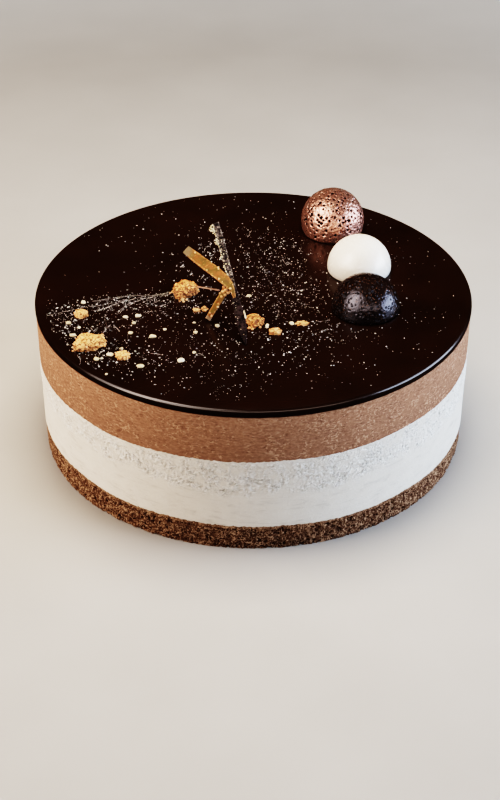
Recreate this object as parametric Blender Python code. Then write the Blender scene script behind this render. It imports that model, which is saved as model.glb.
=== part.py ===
"""A round mousse cake of three chocolates, with a mirror glaze and a chocolate decoration.

Units are metres, +Z is up and the origin is the centre of the underside. From the bottom
up the cake is a cocoa sponge, a white mousse, a milk mousse and a dark glaze. Gold nuggets
and cream drops lie in the glaze. Three domes stand near its right edge, and a blade with
two gold sticks and a fine thread stands left of the middle.
"""

import math
import random

import bmesh
import bpy
from mathutils import Matrix, Vector, noise

MM = 0.001

# The cake and its layers
CAKE_RADIUS = 100.0 * MM
CAKE_HEIGHT = 73.2 * MM
SPONGE_TOP = 12.5 * MM
SPONGE_TOP_SLOPE = (-0.8 * MM, 0.0)  # rise from the middle to the +X and +Y edges
MILK_BOTTOM = 46.7 * MM
MILK_BOTTOM_SLOPE = (1.0 * MM, 0.0)
GLAZE_BOTTOM = CAKE_HEIGHT - 3.4 * MM
GLAZE_BOTTOM_SLOPE = (0.0, 0.9 * MM)
GAP = 0.3 * MM  # between one piece and the next

AROUND = 120  # sides of the round layers
FLAT_SHARE = 0.93  # the hidden faces are plane out to this share of the radius
WAVE_TURNS = (3, 7, 12)  # waves round the edge of a joint between layers
WAVE_SIZES = (0.25 * MM, 0.18 * MM, 0.14 * MM)

# The glaze's lip
LIP_OVERHANG = 0.15 * MM
LIP_ROUND = 2.6 * MM  # how far in the rounded upper edge reaches
LIP_TUCK = 0.5 * MM  # how far the lower edge pulls in
LIP_WAIST = 0.35  # height of the widest line, as a share of the glaze's thickness
LIP_STEPS = 4

# Toppings that lie in the glaze: x, y, length along x, width along y, height, in mm
NUGGETS = (
    (-71, -50.5, 13.5, 12.5, 3.8),
    (-31, -5.5, 11.0, 12.0, 5.2),
    (0.5, -32, 8.2, 8.0, 3.8),
    (-77, -25, 6.0, 6.2, 2.2),
    (-56, -60, 6.0, 6.0, 2.3),
    (9.5, -40, 5.3, 4.4, 2.0),
    (-25.5, -21.5, 3.1, 2.4, 1.4),
    (-22, -20, 2.7, 2.6, 1.4),
)
DROPS = (
    (21.5, -32.5, 5.3, 3.2, 1.2),
    (17, -32.5, 2.7, 2.3, 0.9),
    (-61.5, -58.5, 3.4, 3.0, 1.0),
    (-67, -62, 2.7, 2.9, 0.9),
    (-48, -67.5, 3.4, 3.0, 1.0),
    (-79, -42.5, 3.5, 1.9, 0.8),
    (-82, -32, 2.7, 2.3, 0.8),
    (-77, -36, 1.9, 1.5, 0.7),
    (-77, -14, 2.4, 2.4, 0.8),
    (-57, -27, 2.7, 2.0, 0.8),
    (-51.5, -26, 3.1, 2.4, 0.9),
    (-53, -32, 2.1, 2.3, 0.8),
    (-54, -40.5, 2.6, 1.6, 0.8),
    (-57, -53.5, 1.8, 1.5, 0.7),
    (-44, -43.5, 3.5, 2.7, 0.9),
    (-25.5, -40, 2.3, 2.0, 0.8),
    (-31, -63, 3.4, 3.0, 1.0),
    (-25.5, -56.5, 1.8, 1.6, 0.7),
    (-39, -37.5, 1.8, 1.5, 0.7),
    (-2, -8, 2.5, 2.0, 0.8),
    (-16, -34.5, 2.2, 2.2, 1.0),
    (6, -34, 1.8, 1.9, 0.7),
)
TOPPING_SINK = 1.2 * MM  # how far a topping reaches down into the glaze
NUGGET_LUMPS = 0.22  # height of a nugget's lumps, as a share of its radius
LARGE_NUGGET = 6.0 * MM
FINE_SUBDIVISIONS = 3
MEDIUM_SUBDIVISIONS = 2
COARSE_SUBDIVISIONS = 1

# The domes: node name, x, y and the height of the straight foot under the half ball
DOME_RADIUS = 15.3 * MM
DOMES = (
    ("bronze_dome", 38.8 * MM, 56.3 * MM, 6.0 * MM),
    ("white_dome", 49.8 * MM, 16.5 * MM, 1.8 * MM),
    ("dark_dome", 50.4 * MM, -19.0 * MM, 0.8 * MM),
)
DOME_EDGE = 0.6 * MM  # rounding of the lower edge
DOME_AROUND = 32
DOME_RINGS = 8

# The blade leans back from its tip on the glaze. Heights are above the glaze.
BLADE_TIP = Vector((-3.3, -50.2, 0.4)) * MM
BLADE_TOP = Vector((-16.6, -17.0, 42.0)) * MM
BLADE_WIDTHS = (0.7, 3.4, 4.6, 3.5, 2.7, 2.6, 2.8, 3.1, 3.2, 3.1)  # mm, from tip to top
BLADE_THICKNESS = 0.9 * MM
BLADE_BOW = 0.6 * MM  # how far its middle bends to the right

# The gold sticks: centre line as x, y, height above the glaze, and width, all in mm
LONG_STICK = (
    (-29.8, -13.8, 27.0, 3.9),
    (-24.9, -19.7, 26.0, 4.5),
    (-19.9, -25.4, 25.0, 4.7),
    (-15.5, -30.3, 24.0, 4.7),
    (-12.2, -34.0, 22.9, 4.3),
    (-10.2, -36.0, 21.4, 3.2),
    (-9.0, -37.5, 19.6, 1.9),
    (-8.2, -39.2, 17.2, 1.1),
)
SHORT_STICK = (
    (-12.6, -34.6, 17.6, 2.8),
    (-15.1, -33.3, 12.4, 2.7),
    (-17.7, -31.8, 6.8, 2.5),
    (-20.1, -30.4, 1.3, 2.4),
)
STICK_THICKNESS = 1.1 * MM
STICK_CHAMFER = 0.25 * MM
FACE_LEAN = math.radians(38)  # the flat faces look forward and up by this much

# The fine thread from the middle nugget to the short stick
THREAD_START = Vector((-25.3, -8.4, 5.1)) * MM
THREAD_END = Vector((-15.9, -28.6, 15.0)) * MM
THREAD_RADIUS = 0.4 * MM
THREAD_SIDES = 8

# Finishes: colour, roughness, metallic
FINISHES = {
    "cocoa_sponge": ((0.17, 0.085, 0.045), 0.95, 0.0),
    "white_mousse": ((0.84, 0.80, 0.73), 0.75, 0.0),
    "milk_mousse": ((0.46, 0.25, 0.14), 0.75, 0.0),
    "dark_glaze": ((0.018, 0.008, 0.005), 0.06, 0.0),
    "bronze_lustre": ((0.60, 0.36, 0.27), 0.32, 0.75),
    "white_shell": ((0.88, 0.85, 0.78), 0.35, 0.0),
    "dark_shell": ((0.030, 0.020, 0.018), 0.22, 0.0),
    "smoky_chocolate": ((0.20, 0.17, 0.15), 0.40, 0.0),
    "gold_lustre": ((0.70, 0.46, 0.16), 0.45, 0.5),
    "cream_drop": ((0.82, 0.72, 0.48), 0.35, 0.0),
    "caramel_thread": ((0.42, 0.27, 0.20), 0.40, 0.0),
}


def clear_scene():
    for item in list(bpy.data.objects):
        bpy.data.objects.remove(item, do_unlink=True)


def finish(name):
    """The material of this name, made once."""
    made = bpy.data.materials.get(name)
    if made:
        return made
    colour, roughness, metallic = FINISHES[name]
    made = bpy.data.materials.new(name)
    made.use_nodes = True
    shader = made.node_tree.nodes["Principled BSDF"]
    shader.inputs["Base Color"].default_value = (*colour, 1.0)
    shader.inputs["Roughness"].default_value = roughness
    shader.inputs["Metallic"].default_value = metallic
    return made


def object_from(mesh_tool, name, finish_name, sharp=math.radians(40)):
    """A smooth-shaded object from a bmesh, with its faces turned outwards."""
    bmesh.ops.recalc_face_normals(mesh_tool, faces=mesh_tool.faces)
    mesh = bpy.data.meshes.new(name)
    mesh_tool.to_mesh(mesh)
    mesh_tool.free()
    mesh.materials.append(finish(finish_name))
    mesh.shade_smooth()
    mesh.set_sharp_from_angle(angle=sharp)
    made = bpy.data.objects.new(name, mesh)
    bpy.context.scene.collection.objects.link(made)
    return made


def skin(mesh_tool, rings):
    """Joins rings of equally many points into a closed skin with flat ends."""
    loops = [[mesh_tool.verts.new(point) for point in ring] for ring in rings]
    for lower, upper in zip(loops, loops[1:]):
        count = len(lower)
        for i in range(count):
            j = (i + 1) % count
            mesh_tool.faces.new((lower[i], lower[j], upper[j], upper[i]))
    mesh_tool.faces.new(reversed(loops[0]))
    mesh_tool.faces.new(loops[-1])


def angles(count):
    return [2 * math.pi * i / count for i in range(count)]


def edge_wave(angle):
    """The small rise and fall of a joint between two layers, round the cake."""
    return sum(
        size * math.sin(turns * angle + turns)
        for turns, size in zip(WAVE_TURNS, WAVE_SIZES)
    )


def joint_point(angle, radius, height, slope, waves=True):
    """A point on the sloping plane between two layers, wavy only near the edge."""
    x = radius * math.cos(angle)
    y = radius * math.sin(angle)
    z = height + (slope[0] * x + slope[1] * y) / CAKE_RADIUS
    outer = (radius / CAKE_RADIUS - FLAT_SHARE) / (1 - FLAT_SHARE)
    if waves and outer > 0:
        z += min(outer, 1.0) * edge_wave(angle)
    return Vector((x, y, z))


def side_rings(rows, low, high, relief, grain):
    """Rings up the side between two edges, moved in and out by noise of one grain."""
    rings = []
    for row in range(1, rows):
        share = row / rows
        ring = []
        for a, bottom, top in zip(angles(AROUND), low, high):
            point = bottom.lerp(top, share)
            push = relief * noise.noise(point / grain)
            flat = CAKE_RADIUS - relief + push
            ring.append(Vector((flat * math.cos(a), flat * math.sin(a), point.z)))
        rings.append(ring)
    return rings


def layer(name, finish_name, low, high, rows, relief, grain):
    """One layer of the cake, between two joints that are given as height and slope."""
    edge = CAKE_RADIUS - relief
    inner = FLAT_SHARE * CAKE_RADIUS

    def ring(radius, joint):
        return [joint_point(a, radius, *joint) for a in angles(AROUND)]

    low_edge = ring(edge, low)
    high_edge = ring(edge, high)
    sides = side_rings(rows, low_edge, high_edge, relief, grain)
    mesh_tool = bmesh.new()
    skin(mesh_tool, [ring(inner, low), low_edge, *sides, high_edge, ring(inner, high)])
    return object_from(mesh_tool, name, finish_name)


def build_layers():
    """The sponge and the two mousses, each clear of the next by the gap."""
    half = GAP / 2
    foot = (0.0, (0.0, 0.0), False)
    layer(
        "cocoa_sponge", "cocoa_sponge", foot, (SPONGE_TOP - half, SPONGE_TOP_SLOPE),
        rows=6, relief=0.45 * MM, grain=2.6 * MM,
    )
    layer(
        "white_mousse", "white_mousse", (SPONGE_TOP + half, SPONGE_TOP_SLOPE),
        (MILK_BOTTOM - half, MILK_BOTTOM_SLOPE), rows=3, relief=0.10 * MM, grain=9 * MM,
    )
    layer(
        "milk_mousse", "milk_mousse", (MILK_BOTTOM + half, MILK_BOTTOM_SLOPE),
        (GLAZE_BOTTOM - GAP, GLAZE_BOTTOM_SLOPE, False),
        rows=3, relief=0.10 * MM, grain=7 * MM,
    )


def glaze_plate():
    """The glaze on its own: a thin plate with a rounded lip."""
    inner = FLAT_SHARE * CAKE_RADIUS

    def ring(radius):
        return [
            joint_point(a, radius, GLAZE_BOTTOM, GLAZE_BOTTOM_SLOPE, waves=False)
            for a in angles(AROUND)
        ]

    rings = [ring(inner)]
    for step in range(-LIP_STEPS + 1, LIP_STEPS + 1):
        turn = math.pi / 2 * step / LIP_STEPS
        inset = LIP_TUCK if step < 0 else LIP_ROUND
        radius = CAKE_RADIUS + LIP_OVERHANG - inset * (1 - math.cos(turn))
        lip = []
        for point in ring(radius):
            thickness = CAKE_HEIGHT - point.z
            reach = LIP_WAIST if step < 0 else 1 - LIP_WAIST
            point.z += thickness * (LIP_WAIST + reach * math.sin(turn))
            lip.append(point)
        rings.append(lip)
    mesh_tool = bmesh.new()
    skin(mesh_tool, rings)
    return object_from(mesh_tool, "glaze", "dark_glaze")


def lump(name, finish_name, place, lumpiness, subdivisions, draw):
    """A flattened ball that stands in the glaze, smooth or with lumps."""
    x, y, length, width, height = (value * MM for value in place)
    half_height = (height + TOPPING_SINK) / 2
    mesh_tool = bmesh.new()
    bmesh.ops.create_icosphere(mesh_tool, subdivisions=subdivisions, radius=1.0)
    shift = Vector((draw.uniform(0, 50), draw.uniform(0, 50), draw.uniform(0, 50)))
    turn = Matrix.Rotation(draw.uniform(-0.5, 0.5), 4, "Z")
    middle = Vector((x, y, CAKE_HEIGHT - TOPPING_SINK + half_height))
    for vertex in mesh_tool.verts:
        coarse = noise.noise(vertex.co * 1.4 + shift)
        fine = noise.noise(vertex.co * 4.0 + shift)
        grown = vertex.co * (1.0 + lumpiness * (coarse + 0.8 * fine))
        sized = Vector((grown.x * length / 2, grown.y * width / 2, grown.z * half_height))
        vertex.co = middle + turn @ sized
    return object_from(mesh_tool, name, finish_name)


def fuse(target, parts):
    """Joins the parts to the target as one solid and removes them."""
    group = bpy.data.collections.new("toppings")
    bpy.context.scene.collection.children.link(group)
    for part in parts:
        bpy.context.scene.collection.objects.unlink(part)
        group.objects.link(part)
    union = target.modifiers.new("toppings", "BOOLEAN")
    union.operation = "UNION"
    union.operand_type = "COLLECTION"
    union.collection = group
    union.solver = "EXACT"
    union.material_mode = "TRANSFER"
    bpy.context.view_layer.update()
    graph = bpy.context.evaluated_depsgraph_get()
    joined = bpy.data.meshes.new_from_object(target.evaluated_get(graph))
    target.modifiers.remove(union)
    target.data = joined
    for part in parts:
        bpy.data.objects.remove(part, do_unlink=True)
    bpy.data.collections.remove(group)


def build_glaze():
    """The glaze with its gold nuggets and cream drops fused on."""
    glaze = glaze_plate()
    draw = random.Random(11)
    parts = []
    for number, place in enumerate(NUGGETS):
        large = max(place[2:4]) * MM > LARGE_NUGGET
        detail = FINE_SUBDIVISIONS if large else MEDIUM_SUBDIVISIONS
        name = f"nugget_{number}"
        parts.append(lump(name, "gold_lustre", place, NUGGET_LUMPS, detail, draw))
    for number, place in enumerate(DROPS):
        name = f"drop_{number}"
        parts.append(lump(name, "cream_drop", place, 0.0, COARSE_SUBDIVISIONS, draw))
    fuse(glaze, parts)


def dome_profile(foot):
    """Radius and height of each ring of a dome, from its underside up."""
    corner = [(DOME_RADIUS - DOME_EDGE, 0.0), (DOME_RADIUS, min(DOME_EDGE, 0.7 * foot))]
    if foot > 2 * DOME_EDGE:
        corner.append((DOME_RADIUS, foot / 2))
    ball = []
    for ring in range(DOME_RINGS):
        climb = math.pi / 2 * ring / DOME_RINGS
        ball.append((DOME_RADIUS * math.cos(climb), foot + DOME_RADIUS * math.sin(climb)))
    return corner + ball


def build_dome(name, finish_name, x, y, foot):
    """A half ball on a short straight foot, just clear of the glaze."""
    floor = CAKE_HEIGHT + GAP
    mesh_tool = bmesh.new()
    loops = []
    for radius, height in dome_profile(foot):
        loops.append([
            mesh_tool.verts.new((
                x + radius * math.cos(a),
                y + radius * math.sin(a),
                floor + height,
            ))
            for a in angles(DOME_AROUND)
        ])
    for lower, upper in zip(loops, loops[1:]):
        for i in range(DOME_AROUND):
            j = (i + 1) % DOME_AROUND
            mesh_tool.faces.new((lower[i], lower[j], upper[j], upper[i]))
    mesh_tool.faces.new(reversed(loops[0]))
    crown = mesh_tool.verts.new((x, y, floor + foot + DOME_RADIUS))
    for i in range(DOME_AROUND):
        mesh_tool.faces.new((loops[-1][i], loops[-1][(i + 1) % DOME_AROUND], crown))
    return object_from(mesh_tool, name, finish_name)


def build_domes():
    finishes = ("bronze_lustre", "white_shell", "dark_shell")
    for (name, x, y, foot), finish_name in zip(DOMES, finishes):
        build_dome(name, finish_name, x, y, foot)


def flat_bar(name, finish_name, centres, widths, thickness, chamfer):
    """A flat bar along a line of points, its wide faces turned forward and up."""
    facing = Vector((0.0, -math.cos(FACE_LEAN), math.sin(FACE_LEAN)))
    rings = []
    for i, (centre, width) in enumerate(zip(centres, widths)):
        before = centres[max(i - 1, 0)]
        after = centres[min(i + 1, len(centres) - 1)]
        along = (after - before).normalized()
        across = along.cross(facing).normalized()
        out = across.cross(along).normalized()
        half = width / 2
        thin = thickness / 2
        cut = min(chamfer, half * 0.4)
        corners = (
            (half, -thin + cut), (half, thin - cut), (half - cut, thin),
            (cut - half, thin), (-half, thin - cut), (-half, cut - thin),
            (cut - half, -thin), (half - cut, -thin),
        )
        rings.append([centre + across * u + out * v for u, v in corners])
    mesh_tool = bmesh.new()
    skin(mesh_tool, rings)
    return object_from(mesh_tool, name, finish_name)


def above_glaze(point):
    return point + Vector((0, 0, CAKE_HEIGHT))


def build_blade():
    """The long smoky blade: pointed below, waisted in the middle, cut square on top."""
    count = len(BLADE_WIDTHS)
    centres = []
    for i in range(count):
        share = i / (count - 1)
        bow = Vector((BLADE_BOW * math.sin(math.pi * share), 0, 0))
        centres.append(above_glaze(BLADE_TIP.lerp(BLADE_TOP, share) + bow))
    widths = [width * MM for width in BLADE_WIDTHS]
    return flat_bar(
        "dark_blade", "smoky_chocolate", centres, widths, BLADE_THICKNESS, BLADE_THICKNESS / 4
    )


def build_stick(name, stations):
    centres = [above_glaze(Vector(station[:3]) * MM) for station in stations]
    widths = [station[3] * MM for station in stations]
    return flat_bar(name, "gold_lustre", centres, widths, STICK_THICKNESS, STICK_CHAMFER)


def build_thread():
    """The fine round thread between the middle nugget and the short stick."""
    start = above_glaze(THREAD_START)
    end = above_glaze(THREAD_END)
    along = (end - start).normalized()
    across = along.cross(Vector((0, 0, 1))).normalized()
    upward = across.cross(along)
    rings = []
    for share in (0.0, 0.5, 1.0):
        centre = start.lerp(end, share)
        rings.append([
            centre + THREAD_RADIUS * (across * math.cos(a) + upward * math.sin(a))
            for a in angles(THREAD_SIDES)
        ])
    mesh_tool = bmesh.new()
    skin(mesh_tool, rings)
    return object_from(mesh_tool, "fine_thread", "caramel_thread")


def main():
    clear_scene()
    build_layers()
    build_glaze()
    build_domes()
    build_blade()
    build_stick("long_gold_stick", LONG_STICK)
    build_stick("short_gold_stick", SHORT_STICK)
    build_thread()


main()
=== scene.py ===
"""The looks of a round mousse cake of three chocolates, built around its solid pieces.

Every piece stands in the cake's own frame: metres, +Z up, the origin in the middle of the
underside and the front towards -Y. A field whose name ends in _mm holds millimetres. From
the bottom up there are a cocoa sponge, a white mousse, a milk mousse and a mirror glaze. On
the glaze lie gold nuggets, cream drops, a fan of fine streaks and a dusting of dots, and
three domes and a blade with two gold sticks stand on it.
"""

from __future__ import annotations

import logging
import math
from dataclasses import dataclass, field
from enum import Enum

import bmesh
import bpy
import numpy as np
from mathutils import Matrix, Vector, noise

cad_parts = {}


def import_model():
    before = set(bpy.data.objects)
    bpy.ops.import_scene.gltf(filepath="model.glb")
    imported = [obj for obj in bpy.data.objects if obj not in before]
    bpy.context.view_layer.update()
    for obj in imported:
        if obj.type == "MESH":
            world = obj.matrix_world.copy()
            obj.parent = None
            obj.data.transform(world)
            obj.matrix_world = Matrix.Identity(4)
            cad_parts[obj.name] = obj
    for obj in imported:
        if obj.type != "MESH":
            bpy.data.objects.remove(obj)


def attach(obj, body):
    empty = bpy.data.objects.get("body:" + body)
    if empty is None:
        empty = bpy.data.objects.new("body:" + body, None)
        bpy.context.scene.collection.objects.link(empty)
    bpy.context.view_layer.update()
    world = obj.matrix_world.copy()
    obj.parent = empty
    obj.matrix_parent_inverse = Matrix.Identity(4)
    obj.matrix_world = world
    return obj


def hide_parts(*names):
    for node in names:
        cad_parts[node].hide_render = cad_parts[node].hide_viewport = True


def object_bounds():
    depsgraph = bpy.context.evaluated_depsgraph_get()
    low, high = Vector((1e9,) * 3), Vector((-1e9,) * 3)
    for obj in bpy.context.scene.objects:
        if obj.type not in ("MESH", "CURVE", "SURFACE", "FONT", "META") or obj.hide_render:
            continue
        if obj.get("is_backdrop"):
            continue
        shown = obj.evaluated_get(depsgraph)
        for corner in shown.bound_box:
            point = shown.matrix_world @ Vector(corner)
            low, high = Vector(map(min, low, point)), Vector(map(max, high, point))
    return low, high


LOG = logging.getLogger("cake")
BODY = "root"
MM = 0.001
NOISE_SEED = 3
NOISE_RANGE = (0.3, 0.7)

Colour = tuple[float, float, float]
Place = tuple[float, ...]
Array = np.ndarray
Socket = bpy.types.NodeSocket
Material = bpy.types.Material
Piece = bpy.types.Object


# ---------------- the cake's shared sizes


@dataclass(frozen=True)
class Joint:
    """The sloping face between two layers, uneven at its edge and wavy if waves is set.

    It rises by rise_x from its middle to the +X edge and by rise_y to the +Y edge.
    """

    height: float
    rise_x: float = 0.0
    rise_y: float = 0.0
    ragged: float = 0.0
    waves: bool = False

    def edge(self, angle: Array, radius: float, cake: "CakeSizes") -> Array:
        """The height of the face's edge at each angle.

        Args:
            angle: Angles round the cake.
            radius: Radius at which the height is asked for.
            cake: The cake's shared sizes.

        Returns:
            One height for each angle.
        """
        x, y = radius * np.cos(angle), radius * np.sin(angle)
        height = self.height + (self.rise_x * x + self.rise_y * y) / cake.radius
        if self.waves:
            for turns, size in zip(cake.wave_turns, cake.wave_sizes):
                height = height + size * np.sin(turns * angle + turns)
        if self.ragged:
            circle = np.stack([x, y, np.zeros_like(x)], axis=-1)
            for strength, grain, shift in cake.ragged_layers:
                height = height + strength * self.ragged * smooth_noise(circle, grain, shift)
        return height


@dataclass(frozen=True)
class CakeSizes:
    """The driving sizes that the cake's pieces share.

    The glaze's lip is widest at lip_waist, a share of the glaze's height. It draws in by
    lip_tuck below, rounds by lip_shoulder above, and slopes up by lip_drop over lip_reach to
    the flat top. A ragged layer is its strength, grain and shift.
    """

    radius: float = 100.0 * MM
    height: float = 73.2 * MM
    lip_overhang: float = 0.15 * MM
    lip_shoulder: float = 2.0 * MM
    lip_drop: float = 0.30 * MM
    lip_reach: float = 4.0 * MM
    lip_tuck: float = 0.5 * MM
    lip_waist: float = 0.35
    wave_turns: tuple[int, ...] = (3, 7, 12)
    wave_sizes: tuple[float, ...] = (0.25 * MM, 0.18 * MM, 0.14 * MM)
    ragged_layers: tuple[Place, ...] = ((1.0, 1.7 * MM, 5.0), (0.7, 0.7 * MM, 9.0))
    around: int = 1440
    underside: Joint = Joint(0.0)
    sponge_top: Joint = Joint(12.5 * MM, rise_x=-0.8 * MM, ragged=0.45 * MM, waves=True)
    milk_bottom: Joint = Joint(46.7 * MM, rise_x=1.0 * MM, ragged=0.36 * MM, waves=True)
    glaze_bottom: Joint = Joint(69.8 * MM, rise_y=0.9 * MM)

    def on_glaze(self, x_mm: float, y_mm: float, above_mm: float = 0.0) -> Vector:
        """A point on or above the glaze."""
        return Vector((x_mm * MM, y_mm * MM, self.height + above_mm * MM))


CAKE = CakeSizes()


# ---------------- noise and mesh helpers


def smooth_noise(points: Array, grain: float, shift: float = 0.0) -> Array:
    """Smooth noise at each point.

    Args:
        points: Points, with their three coordinates last.
        grain: Size of the noise's lumps.
        shift: Where in the noise to read it, so that two readings differ.

    Returns:
        One value from about -1 to 1 for each point.
    """
    places = (points.reshape(-1, 3) / grain + shift).tolist()
    return np.array([noise.noise(place) for place in places]).reshape(points.shape[:-1])


def warped(points: Array, grain: float, reach: float, shift: float = 0.0) -> Array:
    """Points moved about by smooth noise.

    Args:
        points: Points, with their three coordinates last.
        grain: Size of the noise's lumps.
        reach: How far a point moves at most, roughly.
        shift: Where in the noise to read it.

    Returns:
        The moved points.
    """
    places = (points.reshape(-1, 3) / grain + shift).tolist()
    moves = np.array([noise.noise_vector(place) for place in places])
    return points + reach * moves.reshape(points.shape)


def cell_noise(points: Array, grain: float, shift: float = 0.0) -> tuple[Array, Array, Array]:
    """Cells round scattered centres, at each point.

    Args:
        points: Points, with their three coordinates last.
        grain: Mean distance between the cells' centres.
        shift: Where in the pattern to read it.

    Returns:
        The distance to the nearest centre and to the next one, as shares of the grain, and
        a random number from 0 to 1 that belongs to the nearest cell.
    """
    places = (points.reshape(-1, 3) / grain + shift).tolist()
    cells = [noise.voronoi(place) for place in places]
    nearest, second = np.array([distances[:2] for distances, _ in cells]).T
    mixed = np.array([centres[0] for _, centres in cells]) @ np.array([12.9898, 78.233, 37.719])
    tone = np.abs(np.sin(mixed) * 43758.5453) % 1.0
    shape = points.shape[:-1]
    return nearest.reshape(shape), second.reshape(shape), tone.reshape(shape)


def ramp_up(values: Array, low: float, high: float) -> Array:
    """A soft step from 0 at low to 1 at high, or down if low is the larger."""
    share = np.clip((values - low) / (high - low), 0.0, 1.0)
    return share * share * (3.0 - 2.0 * share)


def ridges(values: Array, width: float) -> Array:
    """Thin crests along the lines where smooth noise changes its sign."""
    return np.clip(1.0 - np.abs(values) / width, 0.0, 1.0)


def round_angles(count: int) -> Array:
    """Equally spaced angles of a full turn."""
    return np.arange(count) * (2.0 * math.pi / count)


def round_points(radius: float | Array, angle: Array, height: float | Array) -> Array:
    """Points round the upright axis.

    Args:
        radius: Their distance from it.
        angle: Their angles round it.
        height: Their heights.

    Returns:
        The points, with their three coordinates last.
    """
    x, y = radius * np.cos(angle), radius * np.sin(angle)
    return np.stack(np.broadcast_arrays(x, y, height), axis=-1)


def ring_faces(rings: int, around: int) -> Array:
    """The quads between stacked rings.

    Args:
        rings: How many rings there are, from the lowest up.
        around: How many points each ring has.

    Returns:
        Four corner numbers for each quad, which faces outwards.
    """
    start = np.arange(rings - 1)[:, None] * around
    here = start + np.arange(around)
    after = start + (np.arange(around) + 1) % around
    return np.stack([here, after, after + around, here + around], axis=-1).reshape(-1, 4)


def closed_stack(rings: Array) -> tuple[Array, list[list[int]], int]:
    """A closed body of stacked rings with a fan over each end.

    Args:
        rings: Rings of points, from the lowest up.

    Returns:
        The points, the faces, and how many of the faces are the side's.
    """
    count, around = rings.shape[:2]
    ends = np.stack([rings[0].mean(axis=0), rings[-1].mean(axis=0)])
    points = np.vstack([rings.reshape(-1, 3), ends])
    side = ring_faces(count, around).tolist()
    low_middle = count * around
    top = (count - 1) * around
    fans = []
    for i in range(around):
        j = (i + 1) % around
        fans.append([j, i, low_middle])
        fans.append([top + i, top + j, low_middle + 1])
    return points, side + fans, len(side)


def mesh_piece(
    name: str,
    points: Array,
    faces: list[list[int]],
    material: Material,
    smooth_faces: int | None = None,
) -> Piece:
    """A piece made of points and faces.

    Args:
        name: The piece's name.
        points: Its points.
        faces: Its faces, as lists of point numbers.
        material: Its finish.
        smooth_faces: How many of the faces, from the first, are shaded smooth. All, if None.

    Returns:
        The piece, riding on the cake's body.
    """
    mesh = bpy.data.meshes.new(name)
    mesh.from_pydata(points.tolist(), [], faces)
    mesh.update()
    mesh.shade_smooth()
    if smooth_faces is not None:
        smooth = [i < smooth_faces for i in range(len(mesh.polygons))]
        mesh.polygons.foreach_set("use_smooth", smooth)
    mesh.materials.append(material)
    piece = bpy.data.objects.new(name, mesh)
    bpy.context.scene.collection.objects.link(piece)
    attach(piece, BODY)
    return piece


def keep_values(piece: Piece, name: str, values: Array) -> None:
    """Stores one number for each of a piece's points, for its finish to read.

    Args:
        piece: The piece.
        name: The name that the finish reads.
        values: The numbers. Points beyond them get 0.
    """
    filled = np.zeros(len(piece.data.vertices), np.float32)
    filled[: values.size] = values.ravel()
    made = piece.data.attributes.new(name, "FLOAT", "POINT")
    made.data.foreach_set("value", filled)


def ball_template(subdivisions: int) -> tuple[Array, Array]:
    """The points and triangles of a ball of radius 1.

    Args:
        subdivisions: How often its twenty faces are split, counted from 1.

    Returns:
        The points and the corner numbers of its triangles.
    """
    tool = bmesh.new()
    bmesh.ops.create_icosphere(tool, subdivisions=subdivisions, radius=1.0)
    points = np.array([vertex.co[:] for vertex in tool.verts])
    faces = np.array([[vertex.index for vertex in face.verts] for face in tool.faces])
    tool.free()
    return points, faces


# ---------------- finishes


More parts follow.
